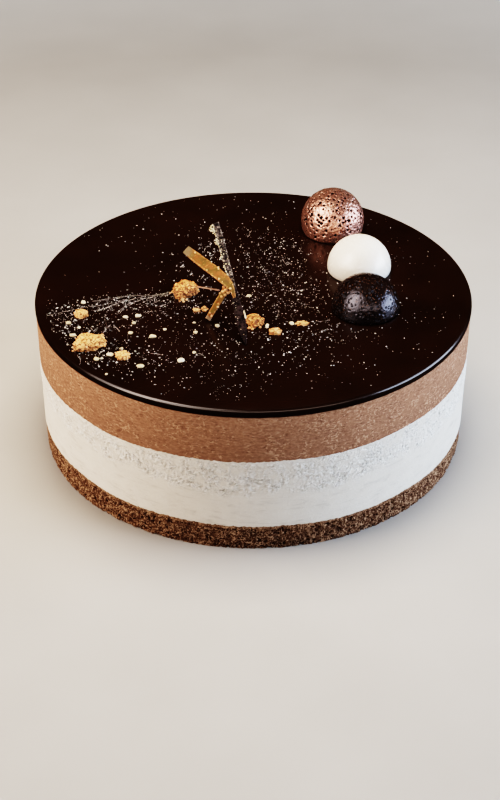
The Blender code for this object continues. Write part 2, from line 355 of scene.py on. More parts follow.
class Graph:
    """A material's nodes, made with short calls."""

    def __init__(self, name: str) -> None:
        """Starts a material.

        Args:
            name: The material's name.
        """
        self.material = bpy.data.materials.new(name)
        self.material.use_nodes = True
        self.tree = self.material.node_tree
        self.shader = self.tree.nodes["Principled BSDF"]
        place = self.tree.nodes.new("ShaderNodeTexCoord")
        self.place = place.outputs["Object"]

    def add(self, kind: str, **inputs: object) -> bpy.types.ShaderNode:
        """Adds a node and sets or links its inputs.

        Args:
            kind: The node's type, without its first word.
            **inputs: Input names in lower case with _ for a space, with a socket or value.

        Returns:
            The node.
        """
        node = self.tree.nodes.new("ShaderNode" + kind)
        for name, value in inputs.items():
            socket = node.inputs[name.replace("_", " ").title()]
            if isinstance(value, Socket):
                self.tree.links.new(value, socket)
            else:
                socket.default_value = value
        return node

    def noise(
        self, size: float, detail: float = 3.0, rough: float = 0.55, stretch: Place = (1, 1, 1)
    ) -> Socket:
        """Soft noise.

        Args:
            size: Size of its lumps.
            detail: How many finer layers it has.
            rough: How strong the finer layers are.
            stretch: How far the lumps are drawn out along each axis.

        Returns:
            Its value, about 0.2 to 0.8.
        """
        vector = self.stretched(stretch)
        node = self.add(
            "TexNoise", vector=vector, scale=1.0 / size, detail=detail, roughness=rough
        )
        return node.outputs["Fac"]

    def lines(self, size: float, width: float, stretch: Place = (1, 1, 1)) -> Socket:
        """Thin curved lines.

        Args:
            size: Mean distance between them, roughly.
            width: How thick they are.
            stretch: How far they are drawn out along each axis.

        Returns:
            A value that is 1 on a line and 0 away from it.
        """
        level = self.noise(size, 1.0, 0.5, stretch)
        away = self.maths("ABSOLUTE", self.minus(level, 0.5))
        return self.grey(away, 0.0, width, 1.0, 0.0)

    def stretched(self, stretch: Place) -> Socket:
        """The place on the piece, drawn out.

        Args:
            stretch: How far along each axis.

        Returns:
            The place with its axes shortened by the stretch.
        """
        if tuple(stretch) == (1, 1, 1):
            return self.place
        node = self.add("Mapping", vector=self.place)
        node.inputs["Scale"].default_value = [1.0 / value for value in stretch]
        return node.outputs["Vector"]

    def stored(self, name: str) -> Socket:
        """A number that the piece's points carry.

        Args:
            name: Its name.

        Returns:
            The number.
        """
        node = self.add("Attribute")
        node.attribute_name = name
        return node.outputs["Fac"]

    def maths(self, operation: str, first: object, second: object = 0.0) -> Socket:
        """The result of one sum.

        Args:
            operation: The kind of sum.
            first: A socket or number.
            second: A socket or number.

        Returns:
            The result.
        """
        node = self.tree.nodes.new("ShaderNodeMath")
        node.operation = operation
        for socket, value in zip(node.inputs, (first, second)):
            if isinstance(value, Socket):
                self.tree.links.new(value, socket)
            else:
                socket.default_value = value
        return node.outputs["Value"]

    def times(self, first: object, second: object) -> Socket:
        """The product of two sockets or numbers."""
        return self.maths("MULTIPLY", first, second)

    def plus(self, first: object, second: object) -> Socket:
        """The sum of two sockets or numbers."""
        return self.maths("ADD", first, second)

    def minus(self, first: object, second: object) -> Socket:
        """The first socket or number less the second."""
        return self.maths("SUBTRACT", first, second)

    def ramp(self, value: Socket, *stops: tuple[float, Colour]) -> Socket:
        """Colours along a value.

        Args:
            value: The value.
            *stops: Positions from 0 to 1, each with its colour.

        Returns:
            The colour.
        """
        node = self.add("ValToRGB", fac=value)
        marks = node.color_ramp.elements
        while len(marks) < len(stops):
            marks.new(0.5)
        for mark, (position, colour) in zip(marks, stops):
            mark.position = position
            mark.color = (*colour, 1.0)
        return node.outputs["Color"]

    def grey(self, value: Socket, low: float, high: float, start: float, end: float) -> Socket:
        """A value mapped from low..high to start..end, and held there beyond.

        Args:
            value: The value.
            low: Where it starts.
            high: Where it ends.
            start: The result at low.
            end: The result at high.

        Returns:
            The mapped value.
        """
        node = self.add(
            "MapRange", value=value, from_min=low, from_max=high, to_min=start, to_max=end
        )
        return node.outputs["Result"]

    def spread(self, value: Socket, start: float, end: float) -> Socket:
        """Soft noise's usual range mapped to start..end."""
        return self.grey(value, *NOISE_RANGE, start, end)

    def mix(self, share: object, first: object, second: object) -> Socket:
        """A mix of two colours.

        Args:
            share: How much of the second there is.
            first: A colour or socket.
            second: A colour or socket.

        Returns:
            The mixed colour.
        """
        node = self.tree.nodes.new("ShaderNodeMix")
        node.data_type = "RGBA"
        sockets = (node.inputs["Factor"], node.inputs[6], node.inputs[7])
        for socket, value in zip(sockets, (share, first, second)):
            if isinstance(value, Socket):
                self.tree.links.new(value, socket)
            elif isinstance(value, tuple):
                socket.default_value = (*value, 1.0)
            else:
                socket.default_value = value
        return node.outputs[2]

    def bump(self, height: Socket, depth: float, after: Socket | None = None) -> Socket:
        """Fine relief in the shading.

        Args:
            height: The relief's height, from 0 to 1.
            depth: How deep it is.
            after: Coarser relief that it lies on.

        Returns:
            The changed normal.
        """
        node = self.add("Bump", height=height, distance=depth)
        if after is not None:
            self.tree.links.new(after, node.inputs["Normal"])
        return node.outputs["Normal"]

    def set(self, name: str, value: object) -> None:
        """Sets one of the shader's own sockets."""
        self.shader.inputs[name].default_value = value

    def finish(self, colour: Socket, roughness: Socket, normal: Socket) -> Material:
        """Links the last sockets to the shader.

        Args:
            colour: The base colour.
            roughness: The roughness.
            normal: The normal.

        Returns:
            The material.
        """
        sockets = {"Base Color": colour, "Roughness": roughness, "Normal": normal}
        for name, socket in sockets.items():
            self.tree.links.new(socket, self.shader.inputs[name])
        return self.material


@dataclass(frozen=True)
class SpongeFinish:
    """Cocoa sponge: nearly black in its pores as painted shade, tan on its crests as painted
    highlight.
    """

    pore: Colour = (0.0065, 0.0026, 0.0014)
    low: Colour = (0.040, 0.0165, 0.0090)
    body: Colour = (0.112, 0.056, 0.033)
    crest: Colour = (0.470, 0.300, 0.195)
    curl: Colour = (0.560, 0.370, 0.245)

    def build(self) -> Material:
        """Makes the material.

        Returns:
            The material.
        """
        g = Graph("cocoa_sponge_crumb")
        height = g.stored("height")
        speckle = g.noise(0.7 * MM, 2.0)
        mixed = g.plus(height, g.grey(speckle, 0.25, 0.75, -0.14, 0.14))
        # Along the crumb's height: painted shade in the pores, a painted highlight on the crests.
        colour = g.ramp(
            mixed, (0.05, self.pore), (0.30, self.low), (0.62, self.body), (1.0, self.crest)
        )
        patch = g.noise(6 * MM, 2.0)
        colour = g.mix(g.grey(patch, 0.4, 0.75, 0.0, 0.30), colour, self.low)
        broken = g.grey(g.noise(1.5 * MM), 0.44, 0.54, 0.0, 0.85)
        curl = g.times(g.lines(1.6 * MM, 0.075), broken)
        colour = g.mix(curl, colour, self.curl)
        roughness = g.spread(speckle, 0.70, 0.95)
        coarse = g.bump(g.noise(0.9 * MM, 3.0), 0.25 * MM)
        normal = g.bump(g.noise(0.3 * MM, 2.0), 0.08 * MM, coarse)
        g.set("Specular IOR Level", 0.04)
        return g.finish(colour, roughness, normal)


@dataclass(frozen=True)
class WhiteMousseFinish:
    """White chocolate mousse: ivory, with painted highlight on its torn flakes and painted shade
    in its tears.
    """

    tear_shade: Colour = (0.36, 0.330, 0.290)
    deep: Colour = (0.60, 0.560, 0.500)
    body: Colour = (0.775, 0.735, 0.665)
    lit_flake: Colour = (0.98, 0.970, 0.94)

    def build(self) -> Material:
        """Makes the material.

        Returns:
            The material.
        """
        g = Graph("white_chocolate_mousse")
        zone = g.stored("zone")
        cloud = g.noise(9 * MM, 3.0, stretch=(1, 1, 0.45))
        # The rough zone is painted darker, as painted shade among its flakes; the cloud is tone
        # that differs at random.
        shade = g.plus(g.spread(cloud, 0.0, 0.30), g.times(zone, 0.20))
        colour = g.mix(shade, self.body, self.deep)
        # Painted highlight on the raised flakes and painted shade in the tears.
        colour = g.mix(g.grey(g.stored("lit_flake"), 0.0, 1.0, 0.0, 0.80), colour, self.lit_flake)
        colour = g.mix(g.grey(g.stored("tear_shade"), 0.0, 1.0, 0.0, 0.45), colour, self.tear_shade)
        # Broken lines in the rough zone: the bright ones a painted highlight, the dark ones
        # painted shade, matching the bump below.
        broken = g.times(g.grey(g.noise(1.7 * MM), 0.44, 0.54, 0.0, 1.0), zone)
        bright = g.times(g.lines(1.8 * MM, 0.150, (1.9, 1.9, 1)), broken)
        dark = g.times(g.lines(1.3 * MM, 0.085, (1.5, 1.5, 1)), broken)
        colour = g.mix(g.times(dark, 0.8), colour, self.tear_shade)
        colour = g.mix(bright, colour, self.lit_flake)
        faint = g.grey(cloud, 0.45, 0.6, 0.0, 0.3)
        hair = g.times(g.lines(2.6 * MM, 0.05, (8, 8, 1)), faint)
        colour = g.mix(hair, colour, self.tear_shade)
        g.set("Specular IOR Level", 0.12)
        roughness = g.spread(g.noise(1.2 * MM), 0.48, 0.68)
        streak = g.bump(g.noise(0.6 * MM, 3.0, stretch=(14, 14, 1)), 0.05 * MM)
        raised = g.minus(bright, dark)
        normal = g.bump(raised, 0.26 * MM, streak)
        return g.finish(colour, roughness, normal)


@dataclass(frozen=True)
class MilkMousseFinish:
    """Milk chocolate mousse: light brown with a fine grain and pale specks."""

    deep: Colour = (0.152, 0.074, 0.046)
    low: Colour = (0.205, 0.107, 0.068)
    body: Colour = (0.340, 0.184, 0.118)
    pale: Colour = (0.590, 0.370, 0.250)

    def build(self) -> Material:
        """Makes the material.

        Returns:
            The material.
        """
        g = Graph("milk_chocolate_mousse")
        level = g.noise(0.8 * MM, 4.0, 0.65, stretch=(2.2, 2.2, 1))
        colour = g.ramp(level, (0.29, self.deep), (0.50, self.body), (0.77, self.pale))
        cloud = g.noise(7 * MM, 2.0, stretch=(2, 2, 1))
        colour = g.mix(g.spread(cloud, 0.0, 0.60), colour, self.body)
        # Darker towards the bottom of the layer.
        sunk = g.plus(g.stored("share"), g.spread(cloud, -0.2, 0.2))
        colour = g.mix(g.grey(sunk, -0.05, 0.95, 0.62, 0.0), colour, self.low)
        patch = g.grey(g.noise(6.5 * MM, 2.0), 0.40, 0.58, 0.15, 1.0)
        broken = g.times(g.grey(g.noise(1.3 * MM), 0.46, 0.55, 0.0, 0.85), patch)
        # Broken lines: the bright ones a painted highlight, the dark ones painted shade, matching
        # the bump below.
        bright = g.times(g.lines(1.5 * MM, 0.100, (2.4, 2.4, 1)), broken)
        dark = g.times(g.lines(1.2 * MM, 0.080, (2.4, 2.4, 1)), broken)
        colour = g.mix(dark, colour, self.deep)
        colour = g.mix(bright, colour, self.pale)
        colour = g.mix(g.times(g.stored("speck"), 0.25), colour, self.pale)
        # The pits are painted darker, as painted shade in them.
        colour = g.mix(g.grey(g.stored("pit"), 0.0, 1.0, 0.0, 0.8), colour, self.deep)
        g.set("Specular IOR Level", 0.06)
        roughness = g.spread(g.noise(0.8 * MM), 0.66, 0.86)
        coarse = g.bump(level, 0.18 * MM)
        raised = g.minus(bright, dark)
        normal = g.bump(raised, 0.16 * MM, coarse)
        return g.finish(colour, roughness, normal)


@dataclass(frozen=True)
class GlazeFinish:
    """Dark mirror glaze, nearly black with a warm brown depth, nowhere less rough than given."""

    name: str = "mirror_glaze"
    sheen: float = 0.10
    roughness: float = 0.19
    deep: Colour = (0.0108, 0.0043, 0.0025)
    warm: Colour = (0.0156, 0.0062, 0.0036)

    def build(self) -> Material:
        """Makes the material.

        Returns:
            The material.
        """
        g = Graph(self.name)
        colour = g.mix(g.spread(g.noise(30 * MM, 2.0), 0.0, 1.0), self.deep, self.warm)
        low, high = self.roughness, self.roughness + 0.06
        roughness = g.grey(g.noise(4 * MM, 4.0), 0.3, 0.75, low, high)
        normal = g.bump(g.noise(14 * MM, 1.0), 0.05 * MM)
        g.set("Specular IOR Level", self.sheen)
        return g.finish(colour, roughness, normal)


@dataclass(frozen=True)
class CrumbFinish:
    """A crumbly or smooth dusted finish, painted shade in its crevices and painted highlight on
    its crests.
    """

    name: str
    deep: Colour
    body: Colour
    pale: Colour
    metallic: float = 0.0
    roughness: float = 0.5
    grain: float = 0.35 * MM

    def build(self) -> Material:
        """Makes the material.

        Returns:
            The material.
        """
        g = Graph(self.name)
        height = g.stored("height")
        speckle = g.noise(2 * self.grain, 2.0)
        mixed = g.plus(height, g.spread(speckle, -0.12, 0.12))
        # Where the stored height follows the relief, as on the nuggets, the deep end is painted
        # shade in the crevices and the pale end a painted highlight on the crests; on small lumps
        # it is tone that differs at random.
        colour = g.ramp(mixed, (0.12, self.deep), (0.5, self.body), (0.95, self.pale))
        roughness = g.spread(speckle, self.roughness - 0.08, self.roughness + 0.12)
        normal = g.bump(g.noise(self.grain, 3.0), 0.3 * self.grain)
        g.set("Metallic", self.metallic)
        return g.finish(colour, roughness, normal)


@dataclass(frozen=True)
class ShellFinish:
    """A dome's pitted or smooth shell, which drifts to its other colour, shows flecks and has
    painted shade in its pits.

    Edge is the tint of what it mirrors, only where it is seen edge-on if it is metallic.
    """

    name: str
    body: Colour
    other: Colour
    pit: Colour
    fleck: Colour
    flecks: float = 0.0
    metallic: float = 0.0
    roughness: float = 0.3
    relief: float = 0.03 * MM
    sheen: float = 0.35
    edge: Colour = (1.0, 1.0, 1.0)

    def build(self) -> Material:
        """Makes the material.

        Returns:
            The material.
        """
        g = Graph(self.name)
        drift = g.noise(5 * MM, 3.0)
        colour = g.mix(g.grey(drift, 0.35, 0.68, 0.0, 1.0), self.body, self.other)
        spots = g.grey(g.noise(0.9 * MM, 3.0, 0.65), 0.60, 0.68, 0.0, self.flecks)
        colour = g.mix(spots, colour, self.fleck)
        # The pits are painted nearly black, as painted shade in them.
        sunk = g.grey(g.stored("pit"), 0.12, 0.50, 0.0, 1.0)
        colour = g.mix(sunk, colour, self.pit)
        uneven = g.spread(g.noise(1.6 * MM), self.roughness - 0.06, self.roughness + 0.08)
        roughness = g.plus(uneven, g.times(sunk, 0.5))
        coarse = g.bump(g.noise(2.2 * MM, 2.0), 1.5 * self.relief)
        normal = g.bump(g.noise(0.6 * MM, 3.0), self.relief, coarse)
        g.set("Metallic", self.metallic)
        g.set("Specular Tint", (*self.edge, 1.0))
        g.set("Specular IOR Level", self.sheen)
        return g.finish(colour, roughness, normal)


@dataclass(frozen=True)
class BladeFinish:
    """Smoky chocolate: frosted grey-brown above, dark and glassy towards its tip."""

    smoke: Colour = (0.016, 0.0115, 0.0120)
    frost: Colour = (0.120, 0.095, 0.090)
    speck: Colour = (0.520, 0.460, 0.410)
    dark: Colour = (0.0060, 0.0032, 0.0032)
    haze: Colour = (0.0560, 0.0370, 0.0370)

    def build(self) -> Material:
        """Makes the material.

        Returns:
            The material.
        """
        g = Graph("smoky_chocolate_blade")
        frosting = g.noise(1.3 * MM, 4.0, 0.72)
        smoky = g.ramp(
            frosting, (0.38, self.dark), (0.47, self.smoke), (0.59, self.frost), (0.72, self.speck)
        )
        # Paler along the edges, partly frost and partly a painted highlight.
        rim = g.times(g.stored("edge"), g.grey(frosting, 0.45, 0.60, 0.0, 0.6))
        smoky = g.mix(rim, smoky, self.speck)
        drift = g.plus(g.stored("along"), g.spread(g.noise(3 * MM), -0.06, 0.06))
        lower = g.mix(g.grey(frosting, 0.44, 0.62, 0.0, 1.0), self.dark, self.haze)
        colour = g.mix(g.grey(drift, 0.44, 0.56, 0.0, 1.0), lower, smoky)
        uneven = g.grey(frosting, 0.40, 0.60, 0.0, 0.30)
        roughness = g.plus(g.grey(drift, 0.4, 0.6, 0.34, 0.44), uneven)
        normal = g.bump(frosting, 0.16 * MM)
        g.set("Specular IOR Level", 0.05)
        return g.finish(colour, roughness, normal)


@dataclass(frozen=True)
class StickFinish:
    """Brushed gold on chocolate, drawn out along the stick, with painted glints on its edges."""

    gold: Colour = (0.112, 0.071, 0.016)
    orange: Colour = (0.190, 0.072, 0.021)
    brown: Colour = (0.062, 0.027, 0.008)
    pale: Colour = (0.150, 0.120, 0.074)
    glint: Colour = (0.560, 0.280, 0.115)
    # Shade scales the gold, orange and brown; above 1 it is painted light for a stick that the
    # lamps light less.
    shade: float = 1.0

    def build(self) -> Material:
        """Makes the material.

        Returns:
            The material.
        """
        g = Graph("brushed_gold_chocolate")
        gold, orange, brown = (
            tuple(self.shade * part for part in tint)
            for tint in (self.gold, self.orange, self.brown)
        )
        colour = g.mix(g.grey(g.noise(3.4 * MM, 2.0), 0.42, 0.60, 0.0, 1.0), gold, orange)
        colour = g.mix(g.grey(g.noise(1.9 * MM, 3.0), 0.52, 0.74, 0.0, 0.75), colour, brown)
        # A painted highlight along the edges, broken up by noise.
        edge_glint = g.plus(g.stored("edge"), g.spread(g.noise(1.1 * MM), -0.7, 0.3))
        colour = g.mix(g.grey(edge_glint, 0.35, 0.85, 0.0, 0.60), colour, self.glint)
        # Small painted glints along thin broken lines.
        broken = g.grey(g.noise(1.4 * MM), 0.5, 0.6, 0.0, 0.8)
        spots = g.times(g.lines(2.2 * MM, 0.030), broken)
        colour = g.mix(spots, colour, self.glint)
        faded = g.plus(g.stored("fade"), g.spread(g.noise(1.5 * MM), -0.2, 0.2))
        colour = g.mix(g.grey(faded, 0.35, 0.9, 0.0, 1.0), colour, self.pale)
        roughness = g.spread(g.noise(0.7 * MM), 0.36, 0.56)
        coarse = g.bump(g.noise(1.4 * MM, 2.0), 0.16 * MM)
        normal = g.bump(g.noise(0.4 * MM, 3.0), 0.06 * MM, coarse)
        g.set("Metallic", 0.25)
        g.set("Specular IOR Level", 0.25)
        return g.finish(colour, roughness, normal)


@dataclass(frozen=True)
class ThreadFinish:
    """A fine caramel-brown thread with a soft shine."""

    body: Colour = (0.27, 0.155, 0.115)
    pale: Colour = (0.50, 0.36, 0.28)

    def build(self) -> Material:
        """Makes the material.

        Returns:
            The material.
        """
        g = Graph("caramel_thread")
        spots = g.noise(1.2 * MM, 3.0)
        colour = g.mix(g.grey(spots, 0.45, 0.7, 0.0, 1.0), self.body, self.pale)
        roughness = g.spread(spots, 0.3, 0.5)
        normal = g.bump(g.noise(0.4 * MM), 0.05 * MM)
        return g.finish(colour, roughness, normal)


@dataclass(frozen=True)
class FloorFinish:
    """A plain pale floor with a barely visible mottle.

    A glow keeps it pale far out. It sets in at glow_from and is full at glow_to.
    """

    body: Colour = (0.45, 0.445, 0.435)
    other: Colour = (0.48, 0.475, 0.465)
    glow: Colour = (1.0, 0.98, 0.95)
    glow_strength: float = 0.55
    glow_from: float = 0.48
    glow_to: float = 0.98

    def build(self) -> Material:
        """Makes the material.

        Returns:
            The material.
        """
        g = Graph("pale_floor")
        mottle = g.noise(60 * MM, 3.0)
        colour = g.mix(g.spread(mottle, 0.0, 1.0), self.body, self.other)
        roughness = g.spread(mottle, 0.55, 0.62)
        normal = g.bump(g.noise(2 * MM), 0.01 * MM)
        away = g.add("VectorMath", vector=g.place)
        away.operation = "LENGTH"
        glow = g.grey(
            away.outputs["Value"], self.glow_from, self.glow_to, 0.0, self.glow_strength
        )
        g.tree.links.new(glow, g.shader.inputs["Emission Strength"])
        g.set("Emission Color", (*self.glow, 1.0))
        return g.finish(colour, roughness, normal)


# ---------------- the layers


@dataclass
class Layer:
    """A round layer between two joints, whose side stands in and has a relief of its own.

    Node is the solid that it stands for. Slot is not used.
    """

    name: str
    node: str
    slot: str
    low: Joint
    high: Joint
    inset: float
    rows: int
    surface: SpongeFinish | WhiteMousseFinish | MilkMousseFinish

    def relief(self, points: Array, share: Array) -> tuple[Array, dict[str, Array]]:
        """The side's relief.

        Args:
            points: Points on the plain side.
            share: Each point's height, from 0 at the lower joint to 1 at the upper.

        Returns:
            How far each point moves outwards, and the numbers that the finish reads.
        """
        raise NotImplementedError

    def build(self) -> Piece:
        """Makes the layer.

        Returns:
            The finished piece.
        """
        angle = round_angles(CAKE.around)
        radius = CAKE.radius - self.inset
        low = self.low.edge(angle, radius, CAKE)
        high = self.high.edge(angle, radius, CAKE)
        share = np.linspace(0.0, 1.0, self.rows + 1)[:, None]
        height = low + (high - low) * share
        flat = round_points(radius, angle, height)
        push, values = self.relief(flat, np.broadcast_to(share, height.shape))
        scale = (radius + push) / radius
        rings = flat * np.stack([scale, scale, np.ones_like(scale)], axis=-1)
        points, faces, smooth = closed_stack(rings)
        piece = mesh_piece(self.name, points, faces, self.surface.build(), smooth)
        for name, numbers in values.items():
            keep_values(piece, name, numbers)
        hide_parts(self.node)
        return piece


@dataclass
class SpongeLayer(Layer):
    """The cocoa sponge: torn crumb with deep pores under a finer band.

    A size is a mean distance or a patch's width. The band starts at a share of the height, sets
    in over band_blend more, and has the mean height band_height between pore and crest. No
    point stands out further than proud, and wear is the power by which low parts sink further.
    """

    surface: SpongeFinish = SpongeFinish()
    pore_size: float = 1.7 * MM
    pore_depth: float = 1.15 * MM
    wall: float = 0.26
    fold_size: float = 1.5 * MM
    curl_size: float = 0.9 * MM
    patch_size: float = 3.2 * MM
    swell_size: float = 6 * MM
    swell: float = 0.28 * MM
    proud: float = 0.4 * MM
    band: float = 0.84
    band_blend: float = 0.06
    band_height: float = 0.66
    wear: float = 1.15

    def relief(self, points: Array, share: Array) -> tuple[Array, dict[str, Array]]:
        """Pores between thin walls and folds, shallow in the band at the top.

        Args:
            points: Points on the plain side.
            share: Each point's height in the layer.

        Returns:
            The outward moves, and the crumb's height from 0 in a pore to 1 on a crest, which the
            finish paints from shade to highlight.
        """
        bent = warped(points, 2.4 * MM, 0.8 * MM, 3.0)
        nearest, second, tone = cell_noise(bent, self.pore_size)
        wall = 1.0 - ramp_up(second - nearest, 0.02, self.wall)
        fold = ridges(smooth_noise(bent, self.fold_size, 7.0), 0.20)
        curl = ridges(smooth_noise(bent, self.curl_size, 13.0), 0.22)
        patch = smooth_noise(points, self.patch_size, 21.0)
        crest = np.maximum(0.70 * wall, 0.9 * fold * np.clip(0.85 + 0.6 * patch, 0.5, 1.0))
        crest = np.maximum(crest, curl * np.clip(0.62 + 0.8 * patch, 0.2, 1.0))
        closed = ramp_up(tone, 0.80, 0.45)
        floor = 0.10 + 0.22 * tone + 0.22 * (1.0 - closed)
        height = np.maximum(crest, floor)
        ragged = 0.045 * smooth_noise(points, 2.0 * MM, 15.0)
        top = ramp_up(share + ragged, self.band, self.band + self.band_blend)
        fine = 0.20 * smooth_noise(points, self.curl_size, 2.0)
        banded = self.band_height + 0.20 * curl + fine
        height = height * (1.0 - top) + banded * top
        depth = self.pore_depth * (0.55 + 0.45 * closed) * (1.0 - 0.62 * top)
        push = -depth * (1.0 - height) ** self.wear
        push += self.swell * smooth_noise(points, self.swell_size, 1.0)
        return np.minimum(push, self.proud), {"height": np.clip(height, 0.0, 1.0)}


@dataclass
class WhiteLayer(Layer):
    """The white mousse: torn and flaky in its upper part, smooth below.

    A size is a mean distance or a patch's width. The torn part starts at a share of the height,
    along a line that strays by waves of the stray_sizes, each with its shift, and sets in over
    torn_blend more. The level marks are those that the ring left. No point stands out further
    than proud.
    """

    surface: WhiteMousseFinish = WhiteMousseFinish()
    torn_from: float = 0.50
    stray_sizes: tuple[Place, ...] = ((22 * MM, 4.0), (5 * MM, 8.0))
    stray: float = 0.10
    torn_blend: float = 0.12
    patch_size: float = 5.0 * MM
    flake_size: float = 1.15 * MM
    crest_size: float = 1.1 * MM
    tear_size: float = 0.85 * MM
    flake_height: float = 0.33 * MM
    tear_depth: float = 0.32 * MM
    swell_size: float = 11 * MM
    swell: float = 0.10 * MM
    level_size: float = 0.9 * MM
    level_stretch: float = 9.0
    level_height: float = 0.035 * MM
    proud: float = 0.33 * MM

    def relief(self, points: Array, share: Array) -> tuple[Array, dict[str, Array]]:
        """Flakes, ridges and small tears above an uneven line.

        Args:
            points: Points on the plain side.
            share: Each point's height in the layer.

        Returns:
            The outward moves, and where flakes, tears and the rough zone are; the finish paints
            highlight on the flakes and shade in the tears and zone.
        """
        around = points * np.array([1.0, 1.0, 0.0])
        limit = self.torn_from
        for size, shift in self.stray_sizes:
            limit = limit + self.stray * smooth_noise(around, size, shift)
        limit = limit + self.stray * np.clip(-points[..., 0] / CAKE.radius - 0.3, 0.0, 1.0)
        zone = ramp_up(share, limit, limit + self.torn_blend) * ramp_up(share, 1.02, 0.93)
        uneven = 0.80 + 1.3 * smooth_noise(points, self.patch_size, 2.0)
        patch = np.clip(uneven, 0.15, 1.0) * zone
        bent = warped(points, 1.5 * MM, 0.6 * MM, 6.0)
        nearest, second, tone = cell_noise(bent, self.flake_size)
        lit_flake = ramp_up(second - nearest, 0.10, 0.40) * ramp_up(tone, 0.35, 0.6)
        crest = ridges(smooth_noise(bent, self.crest_size, 3.0), 0.26)
        tear_shade = ramp_up(smooth_noise(bent, self.tear_size, 12.0), 0.06, 0.40)
        raised = patch * np.maximum(lit_flake, 0.9 * crest)
        torn = patch * tear_shade * (1.0 - 0.8 * lit_flake)
        push = self.flake_height * raised - self.tear_depth * torn
        push += self.swell * smooth_noise(points, self.swell_size, 1.0)
        level = points / np.array([self.level_stretch, self.level_stretch, 1.0])
        marks = self.level_height * smooth_noise(level, self.level_size, 5.0)
        push += marks * (1.0 - 0.6 * zone)
        values = {"lit_flake": raised, "tear_shade": torn, "zone": 0.12 + 0.88 * patch}
        return np.minimum(push, self.proud), values


@dataclass
class MilkLayer(Layer):
    """The milk mousse: fine grain, level streaks, pale specks and small pits.

    A size is a mean distance or a patch's width, and grains holds the height, size and shift of
    each layer of the grain. No point stands out further than proud.
    """

    surface: MilkMousseFinish = MilkMousseFinish()
    speck_size: float = 1.9 * MM
    speck_height: float = 0.09 * MM
    pit_size: float = 1.9 * MM
    pit_depth: float = 0.15 * MM
    patch_size: float = 6.0 * MM
    level_stretch: float = 4.0
    level_size: float = 0.9 * MM
    level_height: float = 0.050 * MM
    grains: tuple[Place, ...] = (
        (0.110 * MM, 0.85 * MM, 1.0), (0.080 * MM, 2.4 * MM, 7.0), (0.10 * MM, 13 * MM, 9.0),
    )
    proud: float = 0.33 * MM

    def relief(self, points: Array, share: Array) -> tuple[Array, dict[str, Array]]:
        """Grain and streaks with specks that stand out and pits that sink in.

        Args:
            points: Points on the plain side.
            share: Each point's height in the layer.

        Returns:
            The outward moves, and where the specks and the pits are.
        """
        bent = warped(points, 1.3 * MM, 0.5 * MM, 2.0)
        nearest, _, tone = cell_noise(bent, self.speck_size, 6.0)
        patch = ramp_up(smooth_noise(points, self.patch_size, 31.0), -0.15, 0.25)
        speck = ramp_up(nearest, 0.22, 0.10) * ramp_up(tone, 0.55, 0.67) * patch
        pit_near, _, pit_tone = cell_noise(bent, self.pit_size, 17.0)
        pit = ramp_up(pit_near, 0.19, 0.09) * ramp_up(pit_tone, 0.62, 0.72)
        level = points / np.array([self.level_stretch, self.level_stretch, 1.0])
        push = self.level_height * smooth_noise(level, self.level_size, 3.0)
        for height, size, shift in self.grains:
            push += height * smooth_noise(points, size, shift)
        push += self.speck_height * speck - self.pit_depth * pit
        return np.minimum(push, self.proud), {"speck": speck, "pit": pit, "share": share}


@dataclass
class Glaze:
    """The mirror glaze: a thin plate with a rounded lip.

    Of the lip's rings above its widest line, skirt_steps are duller and those from there to
    shine_steps brightest. The shelf is the hidden inner edge underneath.
    """

    around: int = 480
    lip_steps: int = 16
    skirt_steps: int = 4
    shine_steps: int = 10
    fall_steps: int = 6
    shelf: float = 0.93
    top_rings: tuple[float, ...] = (0.93, 0.86, 0.75, 0.6, 0.45, 0.3, 0.15)
    rim_finishes: tuple[GlazeFinish, ...] = (
        GlazeFinish("glaze_skirt", sheen=0.06, roughness=0.30),
        GlazeFinish("glaze_lip", sheen=0.50, roughness=0.18),
    )

    def ring(self, radius: float, height: float | Array) -> Array:
        """A ring of points at this height or these heights."""
        return round_points(radius, round_angles(self.around), height)

    def build(self) -> Piece:
        """Makes the glaze.

        Returns:
            The finished piece.
        """
        angle = round_angles(self.around)
        inner = self.shelf * CAKE.radius
        widest = CAKE.radius + CAKE.lip_overhang
        rings = [self.ring(inner, CAKE.glaze_bottom.edge(angle, inner, CAKE))]
        for step in range(-self.lip_steps + 1, 1):
            turn = math.pi / 2 * step / self.lip_steps
            radius = widest - CAKE.lip_tuck * (1 - math.cos(turn))
            bottom = CAKE.glaze_bottom.edge(angle, radius, CAKE)
            rise = CAKE.lip_waist * (1 + math.sin(turn))
            rings.append(self.ring(radius, bottom + (CAKE.height - bottom) * rise))
        whole_turn = math.pi / 2 - math.atan(2 * CAKE.lip_drop / CAKE.lip_reach)
        for step in range(self.lip_steps + 1):
            turn = whole_turn * step / self.lip_steps
            radius = widest - CAKE.lip_shoulder * (1 - math.cos(turn))
            fall = CAKE.lip_drop + CAKE.lip_shoulder * (math.sin(whole_turn) - math.sin(turn))
            rings.append(self.ring(radius, CAKE.height - fall))
        for step in range(1, self.fall_steps + 1):
            share = step / self.fall_steps
            level = CAKE.height - CAKE.lip_drop * (1 - share) ** 2
            rings.append(self.ring(radius - CAKE.lip_reach * share, level))
        rings += [self.ring(share * CAKE.radius, CAKE.height) for share in self.top_rings]
        points, faces, sides = closed_stack(np.array(rings))
        piece = mesh_piece("mirror_glaze", points, faces, GlazeFinish().build())
        for finish in self.rim_finishes:
            piece.data.materials.append(finish.build())
        skirt = self.lip_steps + 1 + self.skirt_steps
        shine = self.lip_steps + 1 + self.shine_steps
        rows = np.arange(sides) // self.around
        kinds = np.where(rows < skirt, 1, np.where(rows < shine, 2, 0))
        kinds = np.concatenate([kinds, np.tile([1, 0], self.around)])
        piece.data.polygons.foreach_set("material_index", kinds.astype(np.int32))
        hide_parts("glaze")
        return piece


# ---------------- small things on the glaze


